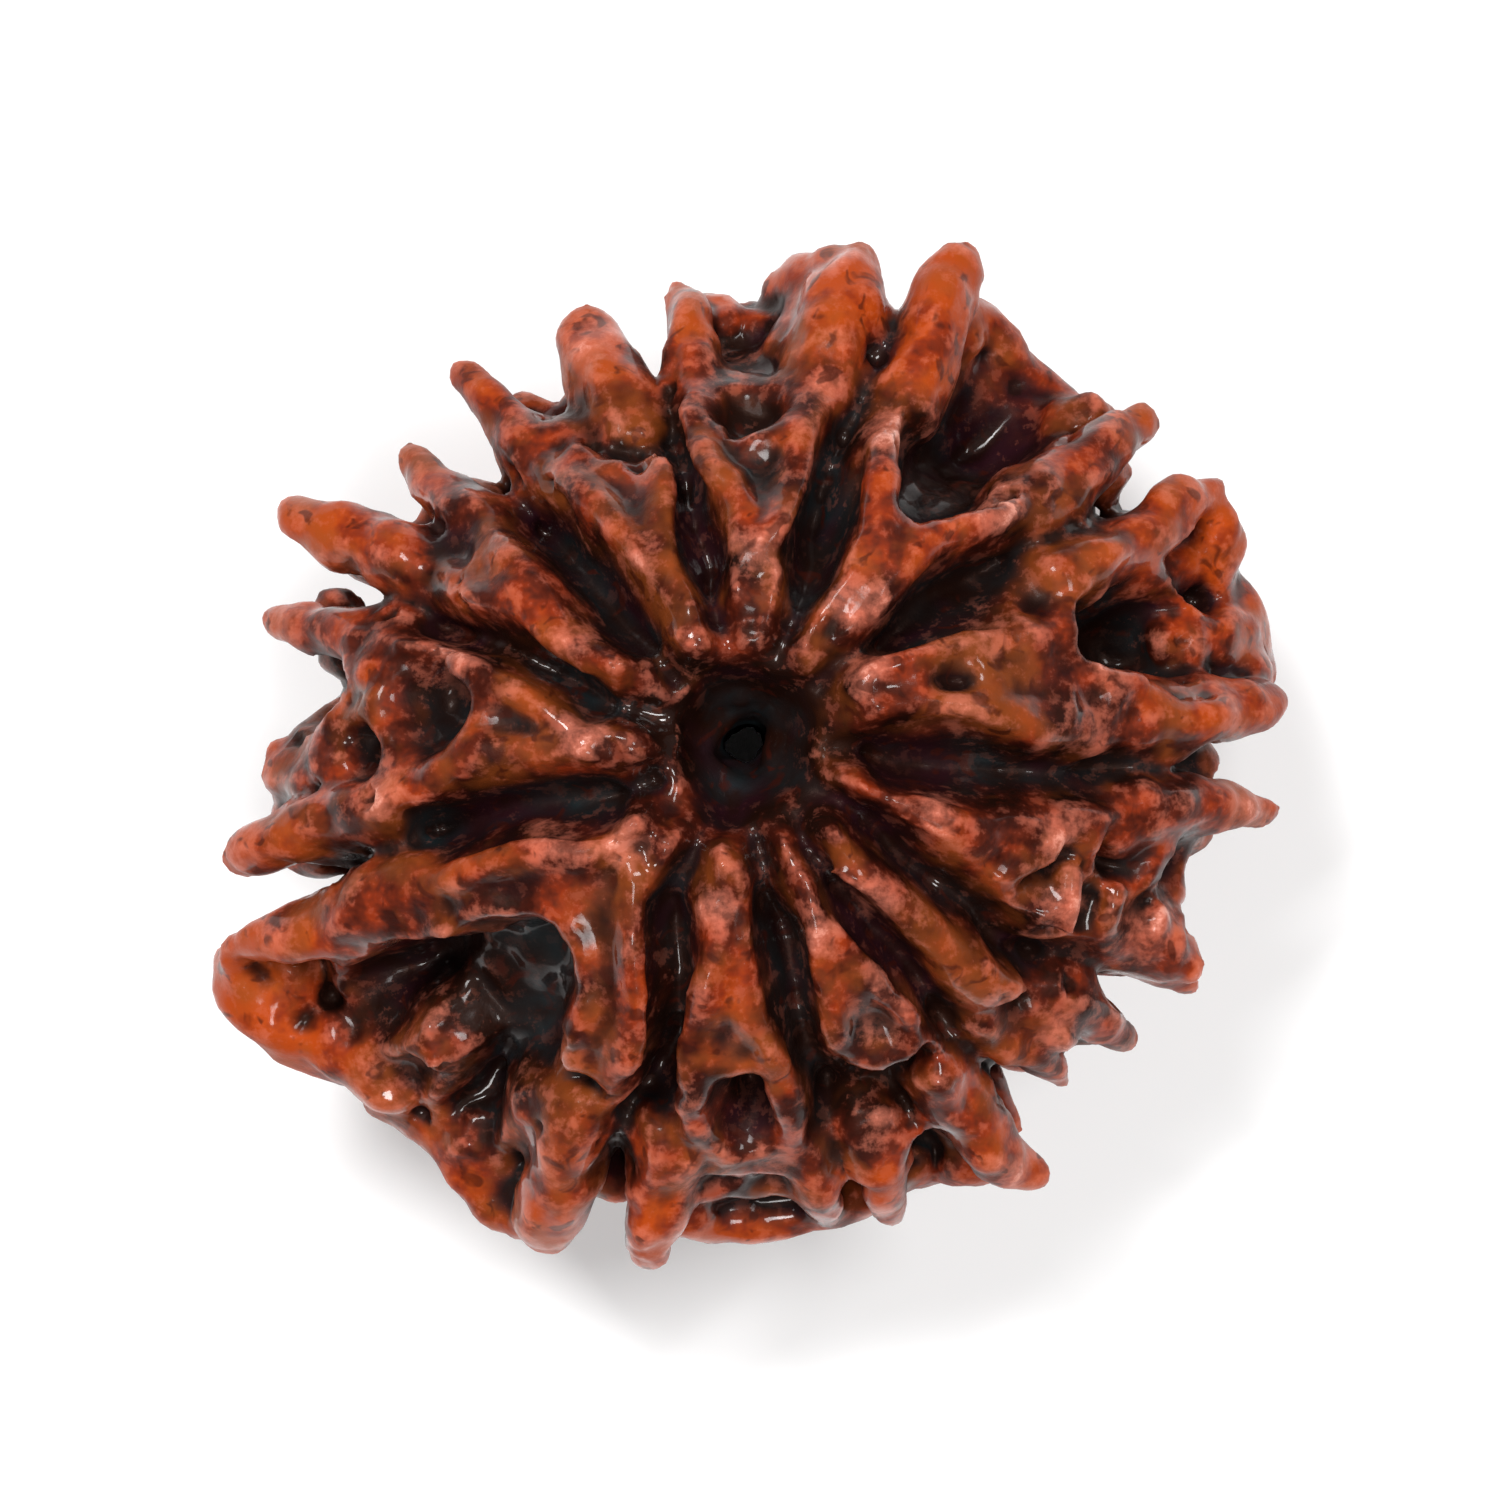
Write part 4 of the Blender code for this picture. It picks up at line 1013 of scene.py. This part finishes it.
# %% Take out bubbles
bpy.ops.mesh.select_mode(type="VERT")
bpy.ops.mesh.select_all(action="DESELECT")
bpy.ops.object.mode_set(mode="OBJECT")
before = len(stone.data.vertices)
rim_point = int(np.argmax(points_of(stone.data)[:, 0]))
stone.data.vertices[rim_point].select = True
bpy.ops.object.mode_set(mode="EDIT")
bpy.ops.mesh.select_linked()
bpy.ops.mesh.select_all(action="INVERT")
bpy.ops.mesh.delete(type="VERT")
bpy.ops.object.mode_set(mode="OBJECT")
stone.data.validate()
bpy.ops.object.shade_smooth()
print(before - len(stone.data.vertices), "points of bubbles taken out")
low, high = np.min(points_of(stone.data), axis=0), np.max(points_of(stone.data), axis=0)
print("the stone spans", np.round((high - low) / MM, 2), "mm and", len(stone.data.polygons), "faces")

# %% [markdown]
# ## The finish
# A dark, oiled, glossy shell. It could be painted by hand on an unwrapped skin, but then a change of shape
# would spoil the paint. So each colour goes where the measures say: near black in the clefts, partly for dirt
# and partly as painted shade, brown-red on the plateaus, orange towards the thorns, ochre in patches, and
# salmon to pale on edges and spots, partly for wear and partly as painted highlights. Noise breaks up every
# border. The coat of oil is broken too, because a perfectly even gloss looks like plastic.

# %% A material and its first helpers
coat = bpy.data.materials.new("oiled_seed_coat")
coat.use_nodes = True
nodes, links = coat.node_tree.nodes, coat.node_tree.links
shader = nodes["Principled BSDF"]


def add_node(kind, **settings):
    node = nodes.new(kind)
    for key, value in settings.items():
        setattr(node, key, value)
    return node


def measure(name):
    """An attribute stored on the mesh."""
    return add_node("ShaderNodeAttribute", attribute_name=name).outputs["Fac"]


# %% Ramps and ranges
def ramp(source, *stops):
    """A colour ramp over (position, colour) stops."""
    node = add_node("ShaderNodeValToRGB")
    elements = node.color_ramp.elements
    while len(elements) < len(stops):
        elements.new(0.5)
    for element, (position, colour) in zip(elements, stops):
        element.position = position
        element.color = (*colour, 1)
    links.new(source, node.inputs["Fac"])
    return node.outputs["Color"]


def scaled(source, low, high, new_low=0.0, new_high=1.0):
    """A value moved from one range to another and held within it."""
    node = add_node("ShaderNodeMapRange", clamp=True)
    links.new(source, node.inputs["Value"])
    for name, value in (("From Min", low), ("From Max", high), ("To Min", new_low), ("To Max", new_high)):
        node.inputs[name].default_value = value
    return node.outputs["Result"]


def sum_of(first, second, share=1.0):
    """first + share * second."""
    node = add_node("ShaderNodeMath", operation="MULTIPLY_ADD")
    links.new(second, node.inputs[0])
    node.inputs[1].default_value = share
    links.new(first, node.inputs[2])
    return node.outputs[0]


# %% Mixed colours and clouds
def mixed(factor, first, second):
    """Two colours mixed by a factor."""
    node = add_node("ShaderNodeMix", data_type="RGBA")
    links.new(factor, node.inputs["Factor"])
    for socket, colour in (("A", first), ("B", second)):
        entry = [item for item in node.inputs if item.name == socket and item.type == "RGBA"][0]
        if isinstance(colour, tuple):
            entry.default_value = (*colour, 1)
        else:
            links.new(colour, entry)
    return [item for item in node.outputs if item.type == "RGBA"][0]


def cloud(scale, detail=4.0, roughness=0.6, distortion=0.0):
    """Noise on the bead's own coordinates."""
    node = add_node("ShaderNodeTexNoise")
    node.inputs["Scale"].default_value = scale
    node.inputs["Detail"].default_value = detail
    node.inputs["Roughness"].default_value = roughness
    node.inputs["Distortion"].default_value = distortion
    links.new(place.outputs["Object"], node.inputs["Vector"])
    return node.outputs["Fac"]


place = add_node("ShaderNodeTexCoord")
print("helpers are ready")

# %% The shell's colours
# As linear red, green and blue.
BLACK = (0.010, 0.0030, 0.0018)
TEAL_BLACK = (0.008, 0.014, 0.016)
PURPLE_BLACK = (0.018, 0.004, 0.007)
DARK_RED = (0.034, 0.005, 0.0025)
BROWN_RED = (0.095, 0.013, 0.005)
RED = (0.20, 0.022, 0.005)
ORANGE = (0.34, 0.045, 0.005)
SALMON = (0.62, 0.18, 0.115)
OCHRE = (0.24, 0.052, 0.010)
PALE = (0.80, 0.40, 0.31)

print("from black in the clefts to pale on the rubbed spots")

# %% Colour by height
# Noise in two sizes shifts the height by up to about a millimetre, which mottles the ribs.
level = sum_of(measure("height"), scaled(cloud(330.0), 0.3, 0.7, -0.9, 0.7))
level = sum_of(level, scaled(cloud(950.0, 3.0), 0.36, 0.64, -1.0, 0.9))
# The ramp goes to near black at low heights: partly dark dirt in the clefts, partly painted shade.
by_height = ramp(scaled(level, -2.4, 2.4),
                 (0.12, BLACK), (0.32, DARK_RED), (0.48, BROWN_RED), (0.62, RED), (0.82, ORANGE))
ochre = scaled(cloud(460.0, 3.0), 0.48, 0.64, 0.0, 0.6)
by_height = mixed(scaled(measure("height"), -1.6, -0.4), by_height, mixed(ochre, by_height, OCHRE))
print("a ramp from black to orange, with ochre patches")

# %% Painted shade in the shelter of the clefts
# Painted shade: broad hollows are mixed towards black, with teal and purple tints, where shade falls.
cleft_shade_colour = mixed(scaled(cloud(240.0), 0.4, 0.6), BLACK, TEAL_BLACK)
cleft_shade_colour = mixed(scaled(cloud(310.0, 2.0), 0.5, 0.62), cleft_shade_colour, PURPLE_BLACK)
cleft_shade_mask = scaled(measure("broad_edge"), 0.03, -0.20)
colour = mixed(cleft_shade_mask, by_height, cleft_shade_colour)
print("teal and purple black in the shelter")

# %% Pale where it is rubbed, and painted highlights on edges
# Salmon on sharp edges: partly rubbed wear, partly painted highlights on the ridges.
sharpness = sum_of(measure("fine_edge"), scaled(cloud(900.0), 0.3, 0.7, -0.04, 0.02))
rubbed_and_highlit = scaled(sharpness, 0.02, 0.10, 0.0, 0.55)
grain = scaled(cloud(1900.0, 5.0, 0.7), 0.42, 0.60, -0.25, 0.10)
wear_and_highlight_level = sum_of(sum_of(rubbed_and_highlit, measure("worn_and_highlit"), 0.55), grain)
rubbed_and_highlit = scaled(wear_and_highlight_level, 0.0, 0.9, 0.0, 0.8)
high = scaled(measure("height"), -3.0, -1.6)
colour = mixed(high, colour, mixed(rubbed_and_highlit, colour, SALMON))
# Pale on the listed spots: partly rubbed wear, partly painted highlights.
colour = mixed(scaled(wear_and_highlight_level, 0.55, 0.95, 0.0, 0.6), colour, PALE)
print("salmon and pale on edges and rubbed spots")

# %% Painted shade in crevices, and specks
# Painted shade: fine creases are darkened towards black.
crease_shade = scaled(measure("fine_edge"), -0.012, -0.07, 0.0, 0.8)
colour = mixed(crease_shade, colour, BLACK)
specks = scaled(cloud(1500.0, 2.0, 0.5, 0.6), 0.60, 0.68, 0.0, 0.7)
colour = mixed(specks, colour, DARK_RED)
links.new(colour, shader.inputs["Base Color"])
print("the colour takes", len(nodes), "nodes")

# %% The shell under the oil
gloss = scaled(cloud(1400.0), 0.3, 0.7, 0.34, 0.52)
links.new(gloss, shader.inputs["Roughness"])
shader.inputs["Metallic"].default_value = 0.0
shader.inputs["IOR"].default_value = 1.45
shader.inputs["Specular IOR Level"].default_value = 0.11
shader.inputs["Specular Tint"].default_value = (1.0, 0.62, 0.50, 1)
print("a dull shell, with a warm tint in its shine")

# %% The coat of oil
# A lump in the upper pit that has a wet glint, in metres.
WET_LUMP = (-0.00237, 0.00032, 0.0186)

shader.inputs["Coat Roughness"].default_value = 0.09
shader.inputs["Coat IOR"].default_value = 1.4
oiled = scaled(cloud(520.0, 3.0), 0.46, 0.66, 0.02, 0.80)
from_lump = add_node("ShaderNodeVectorMath", operation="DISTANCE")
from_lump.inputs[1].default_value = WET_LUMP
links.new(place.outputs["Object"], from_lump.inputs[0])
oiled = sum_of(oiled, scaled(from_lump.outputs["Value"], 0.0014, 0.0007), 0.9)
links.new(oiled, shader.inputs["Coat Weight"])
print("oil in patches")

# %% Fine grain
bump = add_node("ShaderNodeBump")
bump.inputs["Strength"].default_value = 0.35
bump.inputs["Distance"].default_value = 0.00008
links.new(cloud(2600.0, 5.0, 0.65), bump.inputs["Height"])
links.new(bump.outputs["Normal"], shader.inputs["Normal"])
print("the finish takes", len(nodes), "nodes")

# %% Give it to the stone
stone.data.materials.clear()
stone.data.materials.append(coat)
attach(stone, "root")
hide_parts("bead")
print("the stone has its finish")

# %% [markdown]
# ## Floor, light and camera
# The photo looks straight down the canal, so the camera stands right above the bead. A long lens keeps
# the rim and the pole at nearly one scale. Three soft boxes stand round the camera, the strongest at the
# upper left, over a bright pale floor, so that the shadow stays weak. The light of the surroundings is low,
# because the dark clefts would mirror it as a grey haze.

# %% The floor
bpy.ops.object.select_all(action="DESELECT")
bpy.ops.mesh.primitive_plane_add(size=3.0)
floor = bpy.context.object
floor.name = "floor"
pale = bpy.data.materials.new("pale_floor")
pale.use_nodes = True
pale.node_tree.nodes["Principled BSDF"].inputs["Base Color"].default_value = (0.96, 0.96, 0.96, 1)
pale.node_tree.nodes["Principled BSDF"].inputs["Roughness"].default_value = 0.9
floor.data.materials.append(pale)
print("a pale floor")


# %% The lights
def soft_box(name, place, size, power):
    """A square area light that looks at the bead."""
    light = bpy.data.lights.new(name, "AREA")
    light.size = size
    light.energy = power
    lamp = bpy.data.objects.new(name, light)
    bpy.context.scene.collection.objects.link(lamp)
    lamp.location = place
    lamp.rotation_euler = (Vector((0, 0, 0.01)) - Vector(place)).to_track_quat("-Z", "Y").to_euler()
    return lamp


soft_box("key_light", (-0.10, 0.13, 0.35), 0.10, 1.3)
soft_box("right_light", (0.15, 0.06, 0.35), 0.08, 0.55)
soft_box("low_light", (0.0, -0.16, 0.35), 0.08, 0.65)
print("three soft boxes")

# %% The surroundings
world = bpy.data.worlds.new("studio")
bpy.context.scene.world = world
world.use_nodes = True
world.node_tree.nodes["Background"].inputs["Color"].default_value = (1, 1, 1, 1)
world.node_tree.nodes["Background"].inputs["Strength"].default_value = 0.17
bpy.context.scene.view_settings.view_transform = "Standard"
print("weak white light from all round")

# %% The camera
# The photo's side in pixels, one pixel's real size at the rim, and the pixel on the canal's axis.
FRAME_PIXELS = 1512
PIXEL = 0.02597 * MM
AXIS_PIXEL = (742, 745)
# The lens and the sensor's width, in mm.
LENS = 200.0
SENSOR = 36.0

camera_data = bpy.data.cameras.new("camera")
camera_data.lens = LENS
camera_data.sensor_width = SENSOR
camera = bpy.data.objects.new("camera", camera_data)
bpy.context.scene.collection.objects.link(camera)
bpy.context.scene.camera = camera
rim_level = AXIS_PLACE[2] + 1.5 * MM
distance = FRAME_PIXELS * PIXEL * LENS / SENSOR
middle = FRAME_PIXELS / 2
camera.location = (AXIS_PLACE[0] + (middle - AXIS_PIXEL[0]) * PIXEL,
                   AXIS_PLACE[1] - (middle - AXIS_PIXEL[1]) * PIXEL,
                   rim_level + distance)
camera.rotation_euler = (0, 0, 0)
camera_data.clip_start = 0.01
print("the camera stands", round(distance * 1000), "mm over the rim")
